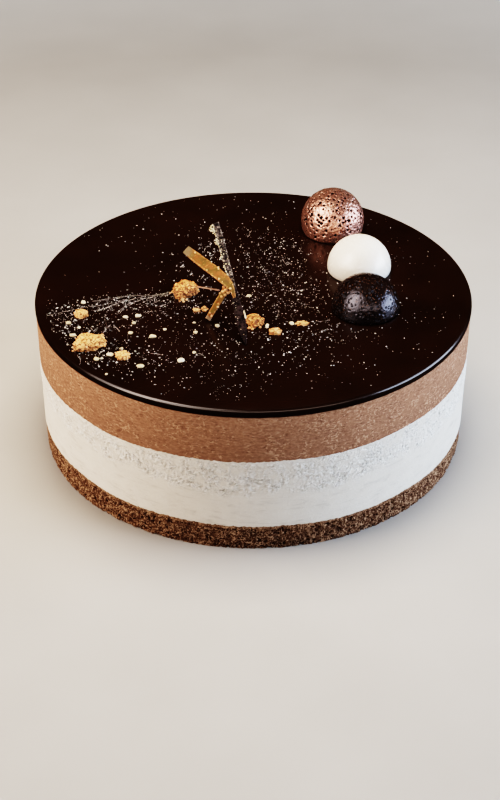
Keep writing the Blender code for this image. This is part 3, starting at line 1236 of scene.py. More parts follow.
class Tint(Enum):
    """What crumbly things look like, in the order of CrumbFinish's fields after its name."""

    CRISP = ((0.16, 0.050, 0.012), (0.74, 0.320, 0.100), (0.94, 0.56, 0.260), 0.05, 0.60)
    GOLD = ((0.22, 0.080, 0.022), (0.78, 0.38, 0.15), (0.94, 0.62, 0.34), 0.05, 0.58)
    CREAM = ((0.46, 0.36, 0.20), (0.70, 0.59, 0.37), (0.86, 0.79, 0.62), 0.0, 0.45)
    DUST = ((0.072, 0.083, 0.100), (0.38, 0.43, 0.46), (0.86, 0.88, 0.88), 0.0, 0.5)
    STREAK = ((0.070, 0.064, 0.064), (0.36, 0.33, 0.32), (0.84, 0.79, 0.76), 0.0, 0.5)

    def finish(self, name: str) -> Material:
        """The material of this name for things that look so."""
        return CrumbFinish(name, *self.value).build()


@dataclass(frozen=True)
class NuggetPlan:
    """One gold nugget's middle, full sizes, and outline, in shares of its half sizes.

    Without corners it is round. Tone is how much paler it is than the first one.
    """

    x_mm: float
    y_mm: float
    length_mm: float
    width_mm: float
    height_mm: float
    corners: tuple[tuple[float, float], ...] = ()
    tone: float = 0.16


@dataclass
class Nuggets:
    """The crumbly gold nuggets that lie in the glaze.

    Fine_mm is the size of the finest unevenness and of the spikes at the outline. A nugget
    longer than large_mm gets the finer mesh.
    """

    sink_mm: float = 1.2
    granule_mm: float = 1.45
    crack_mm: float = 1.5
    fine_mm: tuple[float, float] = (0.8, 0.75)
    coarse_mm: float = 3.0
    large_mm: float = 7.0
    outline_points: int = 360
    corner_blur: int = 17
    plans: tuple[NuggetPlan, ...] = (
        NuggetPlan(
            -71.0, -50.5, 13.5, 12.5, 3.8,
            (
                (1.00, 0.25), (0.76, 0.82), (0.10, 0.98), (-0.55, 0.99), (-0.66, 0.55),
                (-0.83, -0.09), (-0.97, -0.83), (-0.41, -1.0), (0.48, -0.70), (0.80, -0.38),
            ),
            0.0,
        ),
        NuggetPlan(
            -31.0, -5.5, 11.0, 12.0, 5.2,
            (
                (0.96, 0.43), (0.45, 0.97), (-0.38, 0.95), (-0.55, 0.55), (-0.94, 0.30),
                (-1.03, -0.29), (-0.77, -0.86), (-0.32, -1.15), (-0.05, -0.86), (0.58, -0.72),
                (0.94, -0.14),
            ),
            -0.24,
        ),
        NuggetPlan(
            0.5, -32.0, 8.2, 8.0, 3.8,
            (
                (0.97, 0.0), (0.61, 0.35), (0.15, 0.92), (-0.6, 0.88), (-1.03, 0.0),
                (-0.74, -0.45), (-0.28, -0.95), (0.04, -1.35), (0.25, -0.82), (0.90, -0.58),
            ),
            -0.20,
        ),
        NuggetPlan(-77.0, -25.0, 6.0, 6.2, 2.2),
        NuggetPlan(-56.0, -60.0, 6.0, 6.0, 2.3),
        NuggetPlan(9.5, -40.0, 5.3, 4.4, 2.0),
        NuggetPlan(21.5, -32.5, 5.3, 3.2, 1.2), NuggetPlan(-25.5, -21.5, 3.1, 2.4, 1.4),
        NuggetPlan(-22.0, -20.0, 2.7, 2.6, 1.4),
    )

    def outline(self, plan: NuggetPlan, angle: Array) -> Array:
        """How far the outline lies from the middle in each direction.

        Args:
            plan: The nugget.
            angle: The directions.

        Returns:
            Shares of the nugget's half size.
        """
        if not plan.corners:
            return np.ones_like(angle)
        turns = round_angles(self.outline_points)
        ray = np.stack([np.cos(turns), np.sin(turns)], axis=-1)
        reach = np.full(self.outline_points, np.inf)
        corners = np.array(plan.corners)
        for start, end in zip(corners, np.roll(corners, -1, axis=0)):
            edge = end - start
            crossing = ray[:, 0] * edge[1] - ray[:, 1] * edge[0]
            crossing = np.where(np.abs(crossing) < 1e-9, 1e-9, crossing)
            along_ray = (start[0] * edge[1] - start[1] * edge[0]) / crossing
            along_edge = (start[0] * ray[:, 1] - start[1] * ray[:, 0]) / crossing
            meets = (along_edge >= 0.0) & (along_edge <= 1.0) & (along_ray > 0.0)
            reach = np.where(meets, np.minimum(reach, along_ray), reach)
        kernel = np.ones(self.corner_blur) / self.corner_blur
        wide = self.corner_blur // 2
        ring = np.concatenate([reach[-wide:], reach, reach[:wide]])
        soft = np.convolve(ring, kernel, "valid")
        return np.interp(angle % (2 * math.pi), turns, soft, period=2 * math.pi)

    def nugget(self, plan: NuggetPlan, number: int) -> tuple[Array, Array, Array]:
        """One nugget's mesh.

        Args:
            plan: The nugget.
            number: Its number, which settles its lumps.

        Returns:
            Its points, its triangles, and its crumb's height at each point, which the finish
            paints as shade in the crevices and highlight on the crests.
        """
        points, faces = ball_template(6 if plan.length_mm > self.large_mm else 5)
        angle = np.arctan2(points[:, 1], points[:, 0])
        level = np.hypot(points[:, 0], points[:, 1])
        spread = 1.0 + (self.outline(plan, angle) - 1.0) * level
        half = (plan.height_mm + self.sink_mm) / 2
        # The top is flatter than a ball's.
        up = np.sign(points[:, 2]) * np.abs(points[:, 2]) ** 0.8
        along, across = points[:, 0] * spread, points[:, 1] * spread
        sized = np.stack(
            [along * plan.length_mm / 2, across * plan.width_mm / 2, up * half], axis=-1
        )
        shift = 10.0 + 3.7 * number
        bent = warped(sized, 1.1, 0.80, shift)
        nearest, second, tone = cell_noise(bent, self.granule_mm, shift)
        crumb = ramp_up(second - nearest, 0.0, 0.24) * (0.60 + 0.40 * tone)
        crack = 1.0 - ridges(smooth_noise(bent, self.crack_mm, shift + 3.0), 0.16)
        uneven = 0.5 + 0.9 * smooth_noise(bent, self.fine_mm[0], shift + 6.0)
        crumb = np.clip(0.32 * crumb + 0.50 * crack + 0.24 * uneven, 0.0, 1.0)
        coarse = smooth_noise(sized, self.coarse_mm, shift)
        size = min(plan.length_mm, plan.width_mm)
        spikes = smooth_noise(bent, self.fine_mm[1], shift + 8.0) * level ** 4
        move = 0.07 * size * coarse + min(0.55, 0.10 * size) * (crumb - 0.70) + 1.1 * spikes
        sized = sized + points * move[:, None]
        middle = np.array(CAKE.on_glaze(plan.x_mm, plan.y_mm, half - self.sink_mm))
        # The tone is deepest in the cracks and low spots, as painted shade, and palest on the
        # crests, as a painted highlight.
        tone = 1.9 * (crumb - 0.45) + plan.tone
        return middle + sized * MM, faces, np.clip(tone, 0.0, 1.0)

    def build(self) -> Piece:
        """Makes all nuggets as one piece.

        Returns:
            The finished piece.
        """
        all_points, all_faces, all_crumb = [], [], []
        count = 0
        for number, plan in enumerate(self.plans):
            points, faces, crumb = self.nugget(plan, number)
            all_points.append(points)
            all_faces.append(faces + count)
            all_crumb.append(crumb)
            count += len(points)
        faces = np.vstack(all_faces).tolist()
        material = Tint.CRISP.finish("gold_dusted_crisp")
        piece = mesh_piece("gold_nuggets", np.vstack(all_points), faces, material)
        keep_values(piece, "height", np.concatenate(all_crumb))
        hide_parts("glaze")
        return piece


@dataclass
class Pebbles:
    """Many small lumps of one kind, gathered and then made as one piece.

    Lumpiness and wobble are how far their points and outlines stray, as shares of their
    radius, and darkest is the lowest tone, from 0 to 1.
    """

    name: str
    tint: Tint
    subdivisions: int
    lumpiness: float
    seed: int
    darkest: float = 0.5
    wobble: float = 0.0
    centres: list[Place] = field(default_factory=list)
    sizes: list[Place] = field(default_factory=list)

    def add(self, centre: Place, size: Place) -> None:
        """Adds a lump by its middle and its full size along each axis, in metres."""
        self.centres.append(tuple(centre))
        self.sizes.append(tuple(size))

    def add_round(self, centre: Place, size_mm: float) -> None:
        """Adds a round lump by its middle and its size."""
        self.add(centre, (size_mm * MM,) * 3)

    def build(self, slot: str) -> Piece:
        """Makes the lumps.

        Args:
            slot: Not used.

        Returns:
            The finished piece.
        """
        draw = np.random.default_rng(self.seed)
        ball, triangles = ball_template(self.subdivisions)
        count, sizes = len(self.centres), np.array(self.sizes)
        grown = 1.0 + self.lumpiness * draw.uniform(-1.0, 1.0, (count, len(ball), 1))
        if self.wobble:
            apart = ball[None] + 9.0 * np.arange(count)[:, None, None]
            grown = grown + self.wobble * smooth_noise(apart, 0.9)[..., None]
        shaped = ball[None] * grown
        turn = draw.uniform(0.0, math.pi, count)
        tall = shaped * (sizes / 2)[:, None, :]
        # A lump that is longer one way than the other isn't turned.
        turn[sizes[:, 0] != sizes[:, 1]] = 0.0
        cos, sin = np.cos(turn)[:, None], np.sin(turn)[:, None]
        x = tall[..., 0] * cos - tall[..., 1] * sin
        y = tall[..., 0] * sin + tall[..., 1] * cos
        points = np.stack([x, y, tall[..., 2]], axis=-1) + np.array(self.centres)[:, None, :]
        offsets = (np.arange(count) * len(ball))[:, None, None]
        faces = (triangles[None] + offsets).reshape(-1, 3).tolist()
        material = self.tint.finish(self.name + "_finish")
        piece = mesh_piece(self.name, points.reshape(-1, 3), faces, material)
        tone = self.darkest + (1.0 - self.darkest) * draw.random((count, 1))
        tone = tone + draw.uniform(-0.1, 0.1, (count, len(ball)))
        keep_values(piece, "height", np.clip(tone, 0.0, 1.0))
        return piece


@dataclass
class CreamDrops:
    """The smooth cream drops: x, y, length along x, width along y and height, in mm."""

    sink_mm: float = 0.5
    share: float = 0.85
    subdivisions: int = 4
    drops_mm: tuple[Place, ...] = (
        (17, -32.5, 2.7, 2.3, 0.9), (-61.5, -58.5, 3.4, 3.0, 1.0), (-67, -62, 2.7, 2.9, 0.9),
        (-48, -67.5, 3.4, 3.0, 1.0), (-79, -42.5, 3.5, 1.9, 0.8), (-82, -32, 2.7, 2.3, 0.8),
        (-77, -36, 1.9, 1.5, 0.7), (-77, -14, 2.4, 2.4, 0.8), (-57, -27, 2.7, 2.0, 0.8),
        (-51.5, -26, 3.1, 2.4, 0.9), (-53, -32, 2.1, 2.3, 0.8), (-54, -40.5, 2.6, 1.6, 0.8),
        (-57, -53.5, 1.8, 1.5, 0.7), (-44, -43.5, 3.5, 2.7, 0.9), (-25.5, -40, 2.3, 2.0, 0.8),
        (-31, -63, 3.4, 3.0, 1.0), (-25.5, -56.5, 1.8, 1.6, 0.7), (-39, -37.5, 1.8, 1.5, 0.7),
        (-2, -8, 2.5, 2.0, 0.8), (-16, -34.5, 2.2, 2.2, 1.0), (6, -34, 1.8, 1.9, 0.7),
        (-64.8, -61.3, 1.7, 0.9, 0.5), (-77.7, -49.3, 1.3, 1.2, 0.5),
        (-78.1, -52.3, 1.3, 1.2, 0.5), (-61.9, -73.6, 1.3, 1.2, 0.5),
        (-26.3, -31.6, 1.8, 1.0, 0.5), (5.9, -35.5, 1.8, 1.4, 0.5),
    )

    def build(self) -> Piece:
        """Makes the drops.

        Returns:
            The finished piece.
        """
        drops = Pebbles("cream_drops", Tint.CREAM, self.subdivisions, 0.0, 21, 0.4, 0.4)
        for x, y, length, width, height in self.drops_mm:
            middle = CAKE.on_glaze(x, y, (height - self.sink_mm) / 2)
            full = (self.share * length, self.share * width, height + self.sink_mm)
            drops.add(middle, tuple(part * MM for part in full))
        piece = drops.build("white_shell")
        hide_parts("glaze")
        return piece


@dataclass(frozen=True)
class Cloud:
    """A cloud of dots on the glaze: its middle, its spread, and its largest dots' size."""

    x_mm: float
    y_mm: float
    spread_x_mm: float
    spread_y_mm: float
    count: int
    largest_mm: float = 0.8


@dataclass(frozen=True)
class Stroke:
    """A thin, broken streak on the glaze, by the places that it passes and its full width."""

    points_mm: tuple[tuple[float, float], ...]
    width_mm: float

    def path(self, step_mm: float) -> Array:
        """Points along the streak.

        Args:
            step_mm: The distance between them.

        Returns:
            Their x and y, in mm.
        """
        marks = np.array(self.points_mm, float)
        lengths = np.hypot(*np.diff(marks, axis=0).T)
        along = np.concatenate([[0.0], np.cumsum(lengths)])
        places = np.arange(0.0, along[-1], step_mm)
        straight = np.stack([np.interp(places, along, marks[:, i]) for i in range(2)], axis=-1)
        kernel = np.ones(9) / 9
        padded = np.pad(straight, ((4, 4), (0, 0)), mode="edge")
        return np.stack([np.convolve(padded[:, i], kernel, "valid") for i in range(2)], axis=-1)


@dataclass
class Dusting:
    """The fine dots and thin streaks that lie over the glaze.

    A row of clouds holds Cloud's fields. A row of streaks_mm holds the full width, then the x
    and y of each place passed. A streak shorter than short_mm stays whole. Narrow and
    thinnest, below which it breaks, are shares of its full width.
    """

    seed: int = 8
    smallest_mm: float = 0.24
    rim_mm: float = 96.5
    clear_mm: float = 0.4
    clouds: tuple[Place, ...] = (
        (9, 16, 12, 21, 360), (17, -9, 12, 12, 200), (-1, 42, 13, 13, 110), (26, -14, 9, 12, 80),
        (12, -38, 22, 14, 150), (30, -35, 10, 7, 50), (-55, -13, 16, 5, 130),
        (-63, -24, 13, 8, 130), (-84, -24, 7, 6, 105), (-80, -33, 8, 8, 130, 0.9),
        (-71, -50, 10, 9, 190, 0.9), (-58, -60, 11, 8, 130, 0.9), (-45, -35, 18, 16, 100),
        (-42, -20, 9, 7, 60), (-31, -6, 8, 8, 60), (-20, -45, 18, 18, 110),
        (-20, 36, 4.5, 10, 70, 0.9), (14, -52, 16, 10, 140), (-12, -74, 30, 8, 110, 0.6),
        (-5, -88, 14, 3, 16, 0.7), (-15, -8, 9, 9, 60), (-45, -62, 22, 14, 130),
        (0, 0, 60, 60, 520, 0.7), (20, -60, 40, 22, 140, 0.55), (70, 10, 16, 35, 60, 0.5),
        (-10, 60, 40, 18, 90, 0.7),
    )
    streaks_mm: tuple[Place, ...] = (
        (0.55, -36.3, -4.8, -42.6, -7.1, -48.8, -10.7),
        (0.45, -38.1, -6.1, -44.3, -9.8, -50.9, -14.3), (0.4, -37, -4.3, -47.2, -8, -52.4, -12.5),
        (0.48, -54.5, -7.1, -60.7, -9.8, -67.4, -12, -73.6, -12.9),
        (0.45, -49, -8, -56, -11.6, -62.6, -15.2, -70.6, -22.3),
        (0.4, -57, -10.7, -63.6, -14.3, -70.1, -17, -74.6, -17.4),
        (0.18, -74.6, -17.4, -83.7, -21.4, -92.6, -25.8),
        (0.36, -51, -11.6, -56.7, -15.2, -59.9, -20.5, -61, -24.9),
        (0.32, -53.2, -13.4, -58.3, -18.7, -60.1, -24),
        (0.28, -66, -24, -66.2, -29.2, -64.7, -34.4),
        (0.5, -63.1, -32.7, -64.9, -37.8, -66.4, -41.1),
        (0.28, -62.1, -34.4, -60.2, -36.1, -58.6, -39.5),
        (0.32, -38.6, -15.6, -41.7, -17, -44.3, -18.3),
        (0.3, -45.1, -21.4, -46.8, -22.3, -48.6, -23.1),
        (0.34, -44.5, -57, -41.4, -57.6, -38.4, -58.6), (0.26, -23.4, -56.8, -20.8, -59.2),
        (0.22, -75.7, -58.4, -73.5, -63.2, -74, -67.1),
        (0.32, -47.2, -7.1, -58.1, -8, -69.7, -11.6),
        (0.36, -60.4, -14.3, -67.2, -19.6, -72.5, -21.4), (0.3, -42.4, -11.6, -47.6, -17),
        (1, -22.7, 38.9, -21.2, 40.1), (1, -20.6, 41.9, -19.6, 44.2),
        (0.45, -19.3, 44.8, -18.3, 47.5), (0.6, -25.6, 40.6, -24.9, 42),
        (0.6, -23.2, 36.6, -22.7, 37.8), (0.6, -22.2, 32, -21.6, 33.4),
        (0.5, -20.4, 30, -19.8, 31.4), (0.6, -18.8, 32.4, -18.2, 33.8),
        (0.26, -69.5, -40.3, -72.1, -35.2), (0.26, 11.5, -19.6, 10.5, -27.5),
        (0.26, -0.6, 56.7, -3, 48.3), (0.28, 28.6, -30.9, 34.5, -29.2),
        (0.24, 29.2, -38.6, 35, -36.9), (0.75, -36.7, 19.4, -35.6, 21.1),
        (0.6, -34.9, 13.9, -34.4, 15.3), (0.95, -34.2, 18.8, -32.5, 21.9),
        (0.9, -33.3, 18.3, -32.2, 20.2), (0.65, -30.6, 13.9, -29.9, 16.9),
        (0.7, -29.7, 10.9, -28.1, 13.6), (0.5, -28.7, 12, -27.7, 10.1),
        (0.7, -24.3, 7.6, -23.2, 10.9), (0.5, -26, 5.5, -25.5, 7.4), (0.5, -22.4, 5.5, -21.9, 7.7),
        (0.4, -20.7, 8.7, -20.4, 10.6), (0.4, -9.3, -47.2, -8.1, -44.2),
        (0.6, -13.8, -14.1, -12.9, -12.4), (0.4, -3.9, 29.6, -2.3, 33.6),
        (0.4, 3.3, 46.8, 4.6, 48.8), (0.4, 13.3, 31.6, 14.8, 27.3), (0.4, 16.1, 24.6, 18.5, 20.7),
        (0.32, 13.7, 27.1, 16.1, 19.8), (0.45, 24.3, 23.7, 25.6, 27.1),
        (0.6, 17.4, -2.7, 19.3, -2.2), (0.6, 19.9, -3.4, 21.8, -2.2),
        (0.3, 23.4, -13.8, 24.5, -18.7), (0.3, 36.3, -33.9, 38.6, -31.8),
        (0.3, 32.1, -38.2, 34.2, -37.3), (0.45, 5.9, -11.6, 7, -12.7), (0.3, -4.6, 56.7, -4, 60.7),
        (0.4, 12.3, 2.2, 13.6, 4.5), (0.4, 4.9, 16.4, 7, 16.6), (0.35, 14.8, 45, 16.7, 44.7),
        (0.3, 22.4, 33.6, 23.3, 39.9), (0.5, 28.6, 6.9, 30, 6.1), (0.4, 1.4, 2.2, 2.5, 4.5),
        (0.3, 20.2, 41.1, 18.9, 37.3), (0.35, 11.2, 36.1, 10.4, 33.6), (0.3, 6.5, 56.7, 7.8, 60.7),
        (0.2, -22.5, 38.4, -19.9, 43.3),
    )
    short_mm: float = 6.0
    dot_step_mm: float = 1.1
    scatter_mm: float = 0.9
    step_mm: float = 0.3
    narrow: float = 0.68
    thinnest: float = 0.14
    wander_mm: float = 0.13
    sink_mm: float = 0.03

    def strokes(self) -> list[Stroke]:
        """The streaks."""
        return [Stroke(tuple(zip(row[1::2], row[2::2])), row[0]) for row in self.streaks_mm]

    def free(self, x: float, y: float) -> bool:
        """Whether a dot at this place, in mm, lies on bare glaze."""
        clear = (math.hypot(x - d.x_mm, y - d.y_mm) > d.radius_mm + self.clear_mm for d in DOMES)
        return math.hypot(x, y) <= self.rim_mm and all(clear)

    def dots(self, draw: np.random.Generator) -> list[tuple[float, float, float]]:
        """The place and size of every dot.

        Args:
            draw: Where the random numbers come from.

        Returns:
            The x, y and size of each, in mm.
        """
        found = []
        for cloud in (Cloud(*row) for row in self.clouds):
            for _ in range(cloud.count):
                x = draw.normal(cloud.x_mm, cloud.spread_x_mm)
                y = draw.normal(cloud.y_mm, cloud.spread_y_mm)
                growth = (cloud.largest_mm - self.smallest_mm) * draw.random() ** 3
                size = self.smallest_mm + growth
                if self.free(x, y):
                    found.append((x, y, size))
        for stroke in self.strokes():
            for x, y in stroke.path(self.dot_step_mm):
                side = draw.normal(0.0, self.scatter_mm, 2)
                size = self.smallest_mm + 0.35 * draw.random() ** 2
                if self.free(x + side[0], y + side[1]):
                    found.append((x + side[0], y + side[1], size))
        return found

    def build_dots(self) -> Piece:
        """Makes the dots as one piece.

        Returns:
            The finished piece.
        """
        draw = np.random.default_rng(self.seed)
        dust = Pebbles("cream_dust", Tint.DUST, 1, 0.12, 31, 0.18)
        for x, y, size in self.dots(draw):
            stretch = draw.uniform(0.75, 1.35)
            middle = CAKE.on_glaze(x, y, 0.12 * size)
            dust.add(middle, (size * stretch * MM, size / stretch * MM, 0.55 * size * MM))
        return dust.build("white_shell")

    def build_streaks(self) -> Piece:
        """Makes the streaks as one piece of many short dashes.

        Returns:
            The finished piece.
        """
        points: list[Array] = []
        faces: list[list[int]] = []
        count = 0
        for number, stroke in enumerate(self.strokes()):
            path = stroke.path(self.step_mm)
            length = self.step_mm * len(path)
            for dash, widths in self.dashes(stroke, path, number, length < self.short_mm):
                made, quads = self.dash_mesh(dash, widths)
                points.append(made)
                faces += [[corner + count for corner in quad] for quad in quads]
                count += len(made)
        material = Tint.STREAK.finish("cream_streak_finish")
        piece = mesh_piece("cream_streaks", np.vstack(points), faces, material)
        flat = np.vstack(points) / MM * np.array([1.0, 1.0, 0.0])
        keep_values(piece, "height", np.clip(0.56 + 0.9 * smooth_noise(flat, 1.9), 0.1, 1.0))
        return piece

    def dashes(
        self, stroke: Stroke, path: Array, number: int, whole: bool
    ) -> list[tuple[Array, Array]]:
        """Breaks a streak into dashes, unless it is a short one.

        Args:
            stroke: The streak.
            path: Points along it, in mm.
            number: Its number, which settles where it breaks.
            whole: Whether it stays in one piece.

        Returns:
            Each dash's points and its width at each of them, in mm.
        """
        flat = np.column_stack([path, np.full(len(path), 7.0 * number)])
        value = 0.60 + 0.6 * smooth_noise(flat, 1.3) + 0.4 * smooth_noise(flat, 5.0, 2.0)
        if whole:
            value = 0.45 + 0.6 * smooth_noise(flat, 1.0)
        wander = self.wander_mm * smooth_noise(flat, 2.6, 4.0)
        path = path + wander[:, None]
        widths = self.narrow * stroke.width_mm * np.clip(value, 0.0, 0.85)
        solid = widths > self.thinnest * stroke.width_mm
        cuts = np.flatnonzero(np.diff(np.concatenate([[0], solid.astype(int), [0]])))
        made = []
        for start, end in zip(cuts[::2], cuts[1::2]):
            if end - start >= 3:
                taper = np.sin(np.linspace(0.15, math.pi - 0.15, end - start)) ** 0.5
                made.append((path[start:end], widths[start:end] * taper))
        return made

    def dash_mesh(self, path: Array, widths: Array) -> tuple[Array, list[list[int]]]:
        """One dash as a low ridge on the glaze.

        Args:
            path: Its points, in mm.
            widths: Its width at each of them, in mm.

        Returns:
            Its points in metres, and its faces.
        """
        along = np.gradient(path, axis=0)
        along /= np.maximum(np.hypot(along[:, 0], along[:, 1]), 1e-9)[:, None]
        across = np.stack([-along[:, 1], along[:, 0]], axis=-1) * widths[:, None] / 2
        low = CAKE.height - self.sink_mm * MM
        top = CAKE.height + (0.05 + 0.38 * widths) * MM
        rings = []
        for centre, side, peak in zip(path, across, top):
            left, right = (centre + side) * MM, (centre - side) * MM
            ridge_left, ridge_right = (centre + 0.4 * side) * MM, (centre - 0.4 * side) * MM
            rings.append([(*left, low), (*right, low), (*ridge_right, peak), (*ridge_left, peak)])
        points, faces, _ = closed_stack(np.array(rings))
        return points, faces


@dataclass
class Crumbs:
    """Pale and gold crumbs on the blade's edge, the sticks and beside the nuggets.

    Clump and spray sit at the blade's left edge: share of its length, distance in and size,
    in mm. A row of face_crumbs is how many, the share at which they start and over which they
    spread, how far and by which power their sizes grow, and how far in they lie. Teeth are a
    share and a height at the right edge. Joint_mm is x, y, height and size of those where the
    sticks meet, and gold_trail_mm x, y and size of those beside the nuggets.
    """

    seed: int = 14
    edge_count: int = 46
    stick_count: int = 12
    face_crumbs: tuple[Place, ...] = (
        (26, 0.48, 0.46, 0.35, 2, 2.4), (14, 0.05, 0.4, 0.22, 1, 2.0),
    )
    teeth: tuple[Place, ...] = ((0.250, 1.5), (0.235, 1.7), (0.220, 1.6), (0.207, 1.2))
    clump: tuple[Place, ...] = (
        (0.986, 0.1, 0.6), (0.982, -0.6, 0.7), (0.972, -1.2, 0.7), (0.962, -0.8, 0.9),
        (0.955, -0.2, 0.7), (0.948, -1.3, 0.8), (0.940, -0.7, 0.8), (0.930, -0.1, 0.7),
        (0.922, -0.6, 0.5), (0.972, 0.4, 0.5), (0.958, -1.7, 0.5), (0.912, 0.1, 0.6),
    )
    spray: tuple[Place, ...] = (
        (0.872, 0.0, 0.6), (0.862, -0.3, 0.5), (0.850, -0.1, 0.7), (0.838, -0.6, 0.9),
        (0.846, -0.8, 0.7), (0.828, -0.1, 0.8), (0.812, 0.2, 0.5), (0.725, -0.2, 0.7),
        (0.715, -0.6, 0.6), (0.650, -0.1, 0.6), (0.640, -0.4, 0.5), (0.660, 0.9, 0.6),
        (0.652, 2.2, 0.7), (0.742, 1.2, 0.6), (0.845, 1.9, 0.5),
    )
    joint_mm: tuple[Place, ...] = (
        (-12.0, -36.0, 19.2, 1.6), (-11.0, -36.4, 18.0, 1.3), (-13.2, -35.4, 18.0, 1.5),
        (-12.4, -35.8, 16.6, 1.2), (-14.0, -35.2, 15.4, 1.1), (-13.0, -35.2, 20.3, 1.2),
        (-11.4, -36.4, 20.6, 1.0), (-10.2, -37.0, 19.0, 0.9), (-14.6, -34.6, 16.8, 0.9),
    )
    gold_trail_mm: tuple[Place, ...] = (
        (-35.3, -5.5, 1.9), (-34.6, -8.2, 2.2), (-33.8, -10.2, 1.6), (-32.2, -11.8, 1.9),
        (-36.9, -4.9, 1.3), (-34.9, -10.4, 1.1), (-31.6, -13.6, 1.3), (-33.4, -12.9, 0.9),
        (-30.3, -11.9, 1.2), (-38.0, -5.6, 0.9), (-1.8, -36.6, 1.6), (-0.4, -37.6, 1.3),
        (-66.2, -42.4, 1.3), (-77.6, -55.6, 1.2), (-64.4, -51.6, 1.0), (2.9, -36.0, 1.2),
    )

    def build_pale(self, blade: "Bar") -> Piece:
        """Makes the pale crumbs along the blade's left edge.

        Args:
            blade: The blade that they sit on.

        Returns:
            The finished piece.
        """
        draw = np.random.default_rng(self.seed)
        crumbs = Pebbles("pale_crumbs", Tint.CREAM, 2, 0.22, 41, 0.3)
        for share, inward, size in self.clump + self.spray:
            crumbs.add_round(blade.on_edge(share, -1, inward), size)
        for _ in range(self.edge_count):
            share = 0.50 + 0.48 * draw.random()
            inward = abs(draw.normal(0.0, 0.25))
            size = 0.25 + 0.45 * draw.random() ** 2
            crumbs.add_round(blade.on_edge(share, -1, inward), size)
        for count, start, span, growth, power, reach in self.face_crumbs:
            for _ in range(count):
                share = start + span * draw.random()
                size = 0.22 + growth * draw.random() ** power
                crumbs.add_round(blade.on_edge(share, -1, reach * draw.random()), size)
        for share, height in self.teeth:
            crumbs.add(blade.on_edge(share, 1, 0.0), (0.8 * MM, 0.7 * MM, height * MM))
        return crumbs.build("white_shell")

    def build_gold(self, sticks: tuple["Bar", ...]) -> Piece:
        """Makes the gold crumbs on the sticks and in the nuggets' trails.

        Args:
            sticks: The sticks that some of them sit on.

        Returns:
            The finished piece.
        """
        draw = np.random.default_rng(self.seed + 1)
        crumbs = Pebbles("gold_crumbs", Tint.GOLD, 2, 0.20, 42)
        for x, y, size in self.gold_trail_mm:
            middle = CAKE.on_glaze(x, y, 0.25 * size)
            crumbs.add(middle, (size * MM, 0.85 * size * MM, 0.8 * size * MM))
        for x, y, up, size in self.joint_mm:
            crumbs.add_round(CAKE.on_glaze(x, y, up), size)
        for stick in sticks:
            for _ in range(self.stick_count):
                side = -1 if draw.random() < 0.5 else 1
                size = 0.35 + 0.75 * draw.random() ** 2
                place = stick.on_edge(0.08 + 0.9 * draw.random(), side, 0.9 * draw.random())
                crumbs.add_round(place, size)
        return crumbs.build("gold_lustre")


# ---------------- the domes


@dataclass(frozen=True)
class DomePlan:
    """One dome's place, relief and finish.

    Foot_mm is the height of the solid's straight foot, pit_mm the pits' mean radius and
    tuck_mm how far the foot draws in at the bottom.
    """

    name: str
    node: str
    slot: str
    x_mm: float
    y_mm: float
    foot_mm: float
    pits: int
    pit_mm: float
    wrinkle_mm: float
    tuck_mm: float
    finish: ShellFinish
    radius_mm: float = 15.3


# Each pit colour is painted shade in that dome's pits.
DOMES = (
    DomePlan(
        "bronze_shell", "bronze_dome", "bronze_lustre", 38.8, 56.3, 6.0, 320, 0.63, 0.26, 0.9,
        ShellFinish(
            "bronze_lustre_shell",
            body=(0.65, 0.345, 0.265), other=(0.50, 0.235, 0.182), pit=(0.006, 0.003, 0.002),
            fleck=(0.97, 0.80, 0.72), flecks=0.8, metallic=0.84, roughness=0.27,
            relief=0.14 * MM,
        ),
    ),
    DomePlan(
        "ivory_shell", "white_dome", "white_shell", 49.6, 16.5, 1.8, 0, 0.0, 0.0, 0.5,
        ShellFinish(
            "ivory_satin_shell",
            body=(0.95, 0.900, 0.815), other=(0.96, 0.915, 0.845), pit=(0.5, 0.45, 0.4),
            fleck=(0.95, 0.95, 0.93), roughness=0.24, relief=0.006 * MM, sheen=0.7,
        ),
        radius_mm=14.9,
    ),
    DomePlan(
        "dark_glossy_shell", "dark_dome", "dark_shell", 50.4, -19.0, 0.8, 260, 0.42, 0.07, 0.2,
        ShellFinish(
            "dark_lustre_shell",
            body=(0.0080, 0.0040, 0.0030), other=(0.0150, 0.0075, 0.0056),
            pit=(0.001, 0.001, 0.001), fleck=(0.20, 0.115, 0.080), flecks=0.60,
            roughness=0.20, relief=0.045 * MM, sheen=0.50, edge=(0.84, 0.85, 1.0),
        ),
    ),
)


